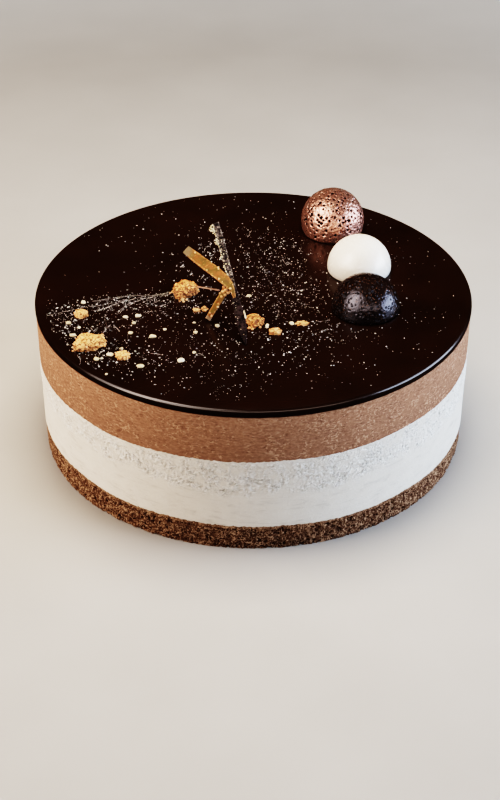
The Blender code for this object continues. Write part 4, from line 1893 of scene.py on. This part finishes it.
@dataclass
class Dome:
    """A half ball on a short straight foot, smooth or pitted and wrinkled.

    The solid stands gap_mm above the glaze and the dome stand_mm. The pits' spacing, spread
    and depth are multiples of their mean radius. Where it has pits, a rough hem lies round
    its foot.
    """

    plan: DomePlan
    around: int = 260
    rings: int = 84
    edge_mm: float = 0.6
    edge_rings: int = 5
    foot_step_mm: float = 0.3
    gap_mm: float = 0.3
    stand_mm: float = 0.05
    pit_spacing: float = 2.1
    pit_tries: int = 40
    pit_spread: tuple[float, float] = (0.65, 1.45)
    pit_uneven: float = 0.30
    pit_depth: float = 0.8
    crease_mm: float = 2.2
    fine_mm: float = 1.2
    swell_mm: float = 3.5
    hem_mm: float = 2.2
    hem_depth_mm: float = 0.22

    @property
    def foot_mm(self) -> float:
        """Height of the straight foot, down to where the dome stands."""
        return self.gap_mm - self.stand_mm + self.plan.foot_mm

    def profile(self) -> Array:
        """The radius and height of each ring, from the underside up.

        Returns:
            The two numbers of each ring, in mm.
        """
        plan = self.plan
        radius, foot = plan.radius_mm, self.foot_mm
        corner_height = min(self.edge_mm, 0.7 * foot)
        marks = []
        for step in range(self.edge_rings):
            turn = math.pi / 2 * step / (self.edge_rings - 1)
            inward = self.edge_mm * (1 - math.sin(turn))
            marks.append((radius - inward, corner_height * (1 - math.cos(turn))))
        straight = max(2, round((foot - corner_height) / self.foot_step_mm))
        for step in range(1, straight):
            share = step / straight
            marks.append((radius, corner_height + (foot - corner_height) * share))
        for ring in range(self.rings):
            climb = math.pi / 2 * ring / self.rings
            marks.append((radius * math.cos(climb), foot + radius * math.sin(climb)))
        found = np.array(marks)
        found[:, 0] -= plan.tuck_mm * np.clip(1.0 - found[:, 1] / foot, 0.0, 1.0) ** 2
        return found

    def pit_field(self, sized: Array, seed: int) -> Array:
        """Where the pits are.

        Args:
            sized: Points on the plain dome, in mm from the middle of the ball's base.
            seed: What settles the pits' places.

        Returns:
            From 0 outside a pit to 1 at its bottom, for each point.
        """
        plan = self.plan
        draw = np.random.default_rng(seed)
        field_value = np.zeros(len(sized))
        bent = warped(sized, 1.1, 0.22, 2.0)
        centres: list[Array] = []
        tries = 0
        while len(centres) < plan.pits and tries < self.pit_tries * plan.pits:
            tries += 1
            up = draw.uniform(-0.25, 1.0)
            turn = draw.uniform(0.0, 2 * math.pi)
            level = math.sqrt(max(0.0, 1.0 - max(up, 0.0) ** 2))
            place = np.array([level * math.cos(turn), level * math.sin(turn), up])
            centre = place * plan.radius_mm
            if up < 0:
                centre[2] = up * 4 * plan.foot_mm
            least = self.pit_spacing * plan.pit_mm
            if all(np.linalg.norm(centre - other) > least for other in centres):
                centres.append(centre)
        for centre in centres:
            size = plan.pit_mm * draw.uniform(*self.pit_spread)
            away = bent - centre
            turn = draw.uniform(0.0, math.pi)
            around = np.arctan2(away[:, 2], away[:, 0] + away[:, 1])
            longer = 1.0 + self.pit_uneven * np.cos(3 * (around - turn))
            distance = np.linalg.norm(away, axis=1) * longer
            field_value = np.maximum(field_value, ramp_up(distance, size, 0.5 * size))
        return field_value

    def build(self, seed: int) -> Piece:
        """Makes the dome.

        Args:
            seed: What settles its pits and wrinkles.

        Returns:
            The finished piece.
        """
        plan = self.plan
        marks = self.profile()
        angle = round_angles(self.around)
        rings = round_points(marks[:, :1], angle, marks[:, 1:])
        flat = rings.reshape(-1, 3)
        from_ball = flat - np.array([0.0, 0.0, self.foot_mm])
        outward = from_ball.copy()
        outward[flat[:, 2] <= self.foot_mm, 2] = 0.0
        outward /= np.maximum(np.linalg.norm(outward, axis=1), 1e-9)[:, None]
        pit = np.zeros(len(flat))
        move = 0.04 * smooth_noise(flat, 9.0, seed)
        if plan.pits:
            pit = self.pit_field(from_ball, seed)
            bent = warped(flat, 2.4, 0.8, seed)
            crease = ridges(smooth_noise(bent, self.crease_mm, seed + 1.0), 0.30)
            fine = ridges(smooth_noise(bent, self.fine_mm, seed + 5.0), 0.35)
            move -= plan.wrinkle_mm * (0.65 * crease + 0.35 * fine)
            move += 0.3 * plan.wrinkle_mm * smooth_noise(flat, self.swell_mm, seed + 3.0)
            move -= self.pit_depth * plan.pit_mm * pit
            hem = ramp_up(flat[:, 2], self.hem_mm, 0.2) * self.hem_depth_mm
            move -= hem * np.abs(smooth_noise(flat, self.fine_mm, seed + 9.0))
        moved = flat + outward * np.minimum(move, 0.0)[:, None]
        middle = np.array(CAKE.on_glaze(plan.x_mm, plan.y_mm, self.stand_mm))
        placed = (middle + moved * MM).reshape(rings.shape)
        points, faces, _ = closed_stack(placed)
        piece = mesh_piece(plan.name, points, faces, plan.finish.build())
        keep_values(piece, "pit", pit)
        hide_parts(plan.node)
        return piece


# ---------------- the blade, sticks and thread


@dataclass(frozen=True)
class Bar:
    """A flat bar along a line of places, its wide faces turned forward and up.

    A station is x, y, height above the glaze and width. The bar's middle bends by bow_mm to
    the right, and its ends are pale over pale_reach, a share of its length.
    """

    name: str
    node: str
    slot: str
    stations_mm: tuple[Place, ...]
    seed: float
    thickness_mm: float = 1.1
    chamfer_mm: float = 0.25
    uneven_mm: float = 0.14
    surface: BladeFinish | StickFinish = BladeFinish()
    bow_mm: float = 0.0
    lean: float = math.radians(38)
    steps: int = 110
    face_points: int = 9
    pale_first: float = 0.0
    pale_last: float = 0.0
    pale_reach: float = 0.16
    sharp: float = math.radians(55)

    def at(self, share: float) -> tuple[Array, Array, Array, float]:
        """The bar's line at a share of its length.

        Args:
            share: From 0 at the first place to 1 at the last.

        Returns:
            The middle, the direction across, the direction outwards, and the width, in mm.
        """
        marks = np.array(self.stations_mm, float)
        along = np.linspace(0.0, 1.0, len(marks))
        step = 0.5 / (len(marks) - 1)
        middle = self.place(share, marks, along)
        tangent = self.place(share + step, marks, along) - self.place(share - step, marks, along)
        tangent /= np.linalg.norm(tangent)
        facing = np.array([0.0, -math.cos(self.lean), math.sin(self.lean)])
        across = np.cross(tangent, facing)
        across /= np.linalg.norm(across)
        out = np.cross(across, tangent)
        return middle, across, out, float(np.interp(share, along, marks[:, 3]))

    def place(self, share: float, marks: Array, along: Array) -> Array:
        """The middle of the bar, bow included.

        Args:
            share: From 0 at the first place to 1 at the last.
            marks: The bar's places.
            along: The share of the length that each of them stands at.

        Returns:
            The middle, in mm.
        """
        held = min(max(share, 0.0), 1.0)
        found = np.array([np.interp(held, along, marks[:, i]) for i in range(3)])
        found[0] += self.bow_mm * math.sin(math.pi * held)
        return found

    def on_edge(self, share: float, side: int, inward_mm: float) -> Vector:
        """A place on the front face near an edge.

        Args:
            share: How far along the bar.
            side: -1 for the left edge as seen from the front, 1 for the right one.
            inward_mm: How far in from the edge.

        Returns:
            The place, in the cake's frame.
        """
        middle, across, out, width = self.at(share)
        turned = side if across[0] > 0 else -side
        reach = turned * max(width / 2 - inward_mm, -width / 2)
        found = middle + across * reach + out * self.thickness_mm * 0.42
        return CAKE.on_glaze(*found)

    def cross_section(self, width: float) -> list[tuple[float, float]]:
        """The outline of the bar, across and outwards.

        Args:
            width: Its width, in mm.

        Returns:
            The points of the outline, turning one way round.
        """
        half, thin = width / 2, self.thickness_mm / 2
        cut = min(self.chamfer_mm, 0.4 * half, 0.9 * thin)
        inner = np.linspace(half - cut, cut - half, self.face_points)
        front = [(u, thin) for u in inner]
        back = [(-u, -thin) for u in inner]
        return [(half, thin - cut), *front, (-half, thin - cut), (-half, cut - thin), *back,
                (half, cut - thin)]

    def build(self) -> Piece:
        """Makes the bar.

        Returns:
            The finished piece.
        """
        rings = []
        for share in np.linspace(0.0, 1.0, self.steps):
            middle, across, out, width = self.at(share)
            outline = self.cross_section(width)
            rings.append([middle + across * u + out * v for u, v in outline])
        flat = np.array(rings)
        count = flat.shape[1]
        centre = flat.mean(axis=1, keepdims=True)
        stray = self.uneven_mm * smooth_noise(flat, 1.6, self.seed)
        stray += 0.5 * self.uneven_mm * smooth_noise(flat, 0.6, self.seed + 4.0)
        away = flat - centre
        away /= np.maximum(np.linalg.norm(away, axis=-1, keepdims=True), 1e-9)
        moved = flat + away * stray[..., None]
        lifted = moved * MM + np.array([0.0, 0.0, CAKE.height])
        points, faces, smooth = closed_stack(lifted)
        piece = mesh_piece(self.name, points, faces, self.surface.build(), smooth)
        piece.data.set_sharp_from_angle(angle=self.sharp)
        along = np.repeat(np.linspace(0.0, 1.0, self.steps), count)
        keep_values(piece, "along", along)
        first = self.pale_first * np.clip(1.0 - along / self.pale_reach, 0.0, 1.0)
        last = self.pale_last * np.clip(1.0 - (1.0 - along) / self.pale_reach, 0.0, 1.0)
        keep_values(piece, "fade", first + last)
        inner = np.abs(np.linspace(-1.0, 1.0, self.face_points))
        side = np.concatenate([[1.0], inner, [1.0, 1.0], inner, [1.0]])
        keep_values(piece, "edge", np.tile(ramp_up(side, 0.55, 1.0), self.steps))
        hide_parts(self.node)
        return piece


def blade_stations() -> tuple[Place, ...]:
    """The blade's places, evenly spaced from its tip on the glaze to its square top.

    Returns:
        The x, y, height above the glaze and width of each, in mm.
    """
    tip, top = np.array([-3.3, -50.2, 0.4]), np.array([-16.6, -17.0, 41.97])
    widths = (0.7, 3.4, 4.6, 3.5, 2.7, 2.6, 2.8, 3.1, 3.2, 3.1)
    last = len(widths) - 1
    return tuple((*(tip + (top - tip) * i / last), width) for i, width in enumerate(widths))


@dataclass
class Decoration:
    """The standing blade, its two gold sticks and the fine thread."""

    blade: Bar = Bar(
        "smoky_blade", "dark_blade", "smoky_chocolate", blade_stations(), 3.0,
        thickness_mm=0.9, chamfer_mm=0.22, uneven_mm=0.12, bow_mm=0.6,
    )
    long_stick: Bar = Bar(
        "gold_stick_long", "long_gold_stick", "gold_lustre",
        (
            (-29.8, -13.8, 27, 3.9), (-24.9, -19.7, 26, 4.5), (-19.9, -25.4, 25, 4.7),
            (-15.5, -30.3, 24, 4.7), (-12.2, -34.0, 22.9, 4.3), (-10.2, -36.0, 21.4, 3.2),
            (-9.0, -37.5, 19.6, 1.9), (-8.2, -39.2, 17.2, 1.1),
        ),
        7.0, surface=StickFinish(), pale_first=1.0,
    )
    # The short stick's colours are brightened as painted light, since the lamps light it less than
    # the long one.
    short_stick: Bar = Bar(
        "gold_stick_short", "short_gold_stick", "gold_lustre",
        (
            (-12.0, -34.9, 18.9, 2.8), (-15.1, -33.3, 12.4, 2.7),
            (-17.7, -31.8, 6.8, 2.5), (-20.1, -30.4, 1.3, 2.4),
        ),
        12.0, steps=70, pale_last=1.5,
        surface=StickFinish(gold=(0.146, 0.110, 0.033), pale=(0.46, 0.36, 0.25), shade=2.1),
    )
    thread_start_mm: Place = (-25.3, -8.4, 5.1)
    thread_end_mm: Place = (-15.0, -30.5, 15.9)
    thread_radius_mm: float = 0.4
    thread_around: int = 12
    thread_steps: int = 60

    def build_thread(self) -> Piece:
        """Makes the fine thread.

        Returns:
            The finished piece.
        """
        start, end = np.array(self.thread_start_mm), np.array(self.thread_end_mm)
        along = (end - start) / np.linalg.norm(end - start)
        across = np.cross(along, [0.0, 0.0, 1.0])
        across /= np.linalg.norm(across)
        up = np.cross(across, along)
        turn = round_angles(self.thread_around)[:, None]
        rings = []
        for share in np.linspace(0.0, 1.0, self.thread_steps):
            centre = start + (end - start) * share
            swell = 0.86 + 0.12 * math.sin(23.0 * share) + 0.06 * math.sin(61.0 * share)
            spoke = across * np.cos(turn) + up * np.sin(turn)
            rings.append(centre + self.thread_radius_mm * swell * spoke)
        lifted = np.array(rings) * MM + np.array([0.0, 0.0, CAKE.height])
        points, faces, _ = closed_stack(lifted)
        piece = mesh_piece("caramel_thread_line", points, faces, ThreadFinish().build())
        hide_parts("fine_thread")
        return piece


# ---------------- the studio


@dataclass(frozen=True)
class Softbox:
    """A soft rectangular light, with the direction in which it stands from its target.

    Shiny surfaces show it if it is mirrored, and matt ones are lit by it if it is glowing.
    """

    name: str
    direction: Place
    distance: float
    width: float
    height: float
    power: float
    colour: Colour
    mirrored: bool = True
    glowing: bool = True

    def build(self, target: Vector) -> bpy.types.Object:
        """Makes the light, turned to a point.

        Args:
            target: The point.

        Returns:
            The light.
        """
        data = bpy.data.lights.new(self.name, "AREA")
        data.shape = "RECTANGLE"
        data.size = self.width
        data.size_y = self.height
        data.energy = self.power
        data.color = self.colour
        light = bpy.data.objects.new(self.name, data)
        bpy.context.scene.collection.objects.link(light)
        away = Vector(self.direction).normalized()
        light.location = target + away * self.distance
        light.rotation_mode = "QUATERNION"
        light.rotation_quaternion = (-away).to_track_quat("-Z", "Y")
        light.visible_camera = False
        light.visible_glossy = self.mirrored
        light.visible_diffuse = self.glowing
        return light


@dataclass
class Studio:
    """The camera, the pale floor, the dim room and the soft lights.

    Room_fade is the two heights between which the room darkens, and its strength at them.
    """

    eye: Place = (-0.00153, -0.60845, 0.42048)
    look: Place = (0.0, 0.8294, -0.5587)
    lens: float = 68.26
    sensor: float = 36.0
    floor_size: float = 6.0
    room_fade: Place = (0.05, 0.33, 0.25, 0.004)
    softboxes: tuple[Softbox, ...] = (
        Softbox(
            "strip_left", (-0.655, -0.445, 0.61), 0.95, 0.96, 1.00, 13.2, (1.0, 0.87, 0.78),
            glowing=False,
        ),
        Softbox(
            "strip_core", (-0.695, -0.455, 0.555), 0.94, 0.38, 0.84, 6.6, (1.0, 0.86, 0.76),
            glowing=False,
        ),
        Softbox(
            "strip_front", (0.05, -0.90, 0.42), 1.00, 1.70, 0.20, 4.4, (1.0, 0.84, 0.74),
            glowing=False,
        ),
        Softbox(
            "strip_right", (0.970, -0.09, 0.20), 0.84, 0.76, 0.38, 9.6, (0.70, 0.81, 1.0),
            glowing=False,
        ),
        Softbox(
            "glow_right", (0.97, -0.14, 0.22), 0.85, 0.70, 0.60, 11.5, (0.66, 0.80, 1.0), False
        ),
        Softbox(
            "glow_left", (-0.97, -0.10, 0.25), 0.80, 0.60, 0.60, 7.5, (1.0, 0.80, 0.66), False
        ),
        Softbox("glow_top", (0.0, 0.05, 1.0), 0.55, 0.35, 0.35, 5.2, (1.0, 0.84, 0.66), False),
    )

    def build_camera(self) -> None:
        """Makes the camera at the photograph's viewing angle."""
        data = bpy.data.cameras.new("camera")
        data.lens = self.lens
        data.sensor_width = self.sensor
        data.clip_start = 0.01
        data.clip_end = 50.0
        camera = bpy.data.objects.new("camera", data)
        bpy.context.scene.collection.objects.link(camera)
        camera.location = self.eye
        camera.rotation_mode = "QUATERNION"
        camera.rotation_quaternion = Vector(self.look).to_track_quat("-Z", "Y")
        bpy.context.scene.camera = camera

    def build_floor(self) -> None:
        """Makes the floor, just under the cake."""
        half = self.floor_size / 2
        points = np.array([(-half, -half, 0), (half, -half, 0), (half, half, 0), (-half, half, 0)])
        mesh = bpy.data.meshes.new("floor")
        mesh.from_pydata(points.tolist(), [], [[0, 1, 2, 3]])
        mesh.materials.append(FloorFinish().build())
        floor = bpy.data.objects.new("floor", mesh)
        floor.location.z = -0.02 * MM
        floor.visible_glossy = False
        bpy.context.scene.collection.objects.link(floor)
        floor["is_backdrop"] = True

    def build_room(self) -> None:
        """Makes the room: pale at floor level and dark overhead."""
        world = bpy.data.worlds.new("room")
        world.use_nodes = True
        tree = world.node_tree
        place = tree.nodes.new("ShaderNodeTexCoord")
        split = tree.nodes.new("ShaderNodeSeparateXYZ")
        fade = tree.nodes.new("ShaderNodeMapRange")
        fade.interpolation_type = "SMOOTHSTEP"
        for name, value in zip(("From Min", "From Max", "To Min", "To Max"), self.room_fade):
            fade.inputs[name].default_value = value
        back = tree.nodes["Background"]
        tree.links.new(place.outputs["Generated"], split.inputs["Vector"])
        tree.links.new(split.outputs["Z"], fade.inputs["Value"])
        tree.links.new(fade.outputs["Result"], back.inputs["Strength"])
        back.inputs["Color"].default_value = (1.0, 0.98, 0.96, 1.0)
        world.cycles_visibility.glossy = False
        bpy.context.scene.world = world

    def build(self) -> None:
        """Makes the studio."""
        view = bpy.context.scene.view_settings
        view.view_transform = "Filmic"
        view.look = "Very High Contrast"
        self.build_camera()
        self.build_floor()
        self.build_room()
        target = Vector((0.0, 0.0, CAKE.height))
        for softbox in self.softboxes:
            softbox.build(target)


# ---------------- putting it together


def report(piece: Piece) -> None:
    """Logs a piece's name and how many faces it has."""
    LOG.info("%s: %d faces", piece.name, len(piece.data.polygons))


def build_layers() -> None:
    """Makes the sponge, the two mousses and the glaze."""
    layers = (
        SpongeLayer(
            "sponge_crumb", "cocoa_sponge", "cocoa_sponge", CAKE.underside, CAKE.sponge_top,
            inset=0.35 * MM, rows=34,
        ),
        WhiteLayer(
            "white_mousse_side", "white_mousse", "white_mousse", CAKE.sponge_top,
            CAKE.milk_bottom, inset=0.20 * MM, rows=66,
        ),
        MilkLayer(
            "milk_mousse_side", "milk_mousse", "milk_mousse", CAKE.milk_bottom,
            CAKE.glaze_bottom, inset=0.20 * MM, rows=44,
        ),
    )
    for layer in layers:
        report(layer.build())
    report(Glaze().build())


def build_toppings() -> None:
    """Makes the nuggets, drops, dust, streaks, domes and the standing decoration."""
    report(Nuggets().build())
    report(CreamDrops().build())
    dusting = Dusting()
    report(dusting.build_dots())
    report(dusting.build_streaks())
    for number, plan in enumerate(DOMES):
        report(Dome(plan).build(seed=number + 5))
    decoration = Decoration()
    report(decoration.blade.build())
    report(decoration.long_stick.build())
    report(decoration.short_stick.build())
    report(decoration.build_thread())
    crumbs = Crumbs()
    report(crumbs.build_pale(decoration.blade))
    report(crumbs.build_gold((decoration.long_stick, decoration.short_stick)))


def write_sizes(cad_box: tuple[Vector, Vector]) -> None:
    """Writes the solids' box and the finished cake's box.

    Args:
        cad_box: The solids' lowest and highest corner.
    """
    boxes = {"cad": cad_box, "visual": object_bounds()}
    plain = {name: [list(corner) for corner in box] for name, box in boxes.items()}
    LOG.info("sizes: %s", plain)


def main() -> None:
    """Builds the studio and every piece of the cake."""
    logging.basicConfig(level=logging.INFO, format="%(name)s: %(message)s", force=True)
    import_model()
    cad_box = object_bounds()
    noise.seed_set(NOISE_SEED)
    Studio().build()
    build_layers()
    build_toppings()
    write_sizes(cad_box)


if __name__ == "__main__":
    main()
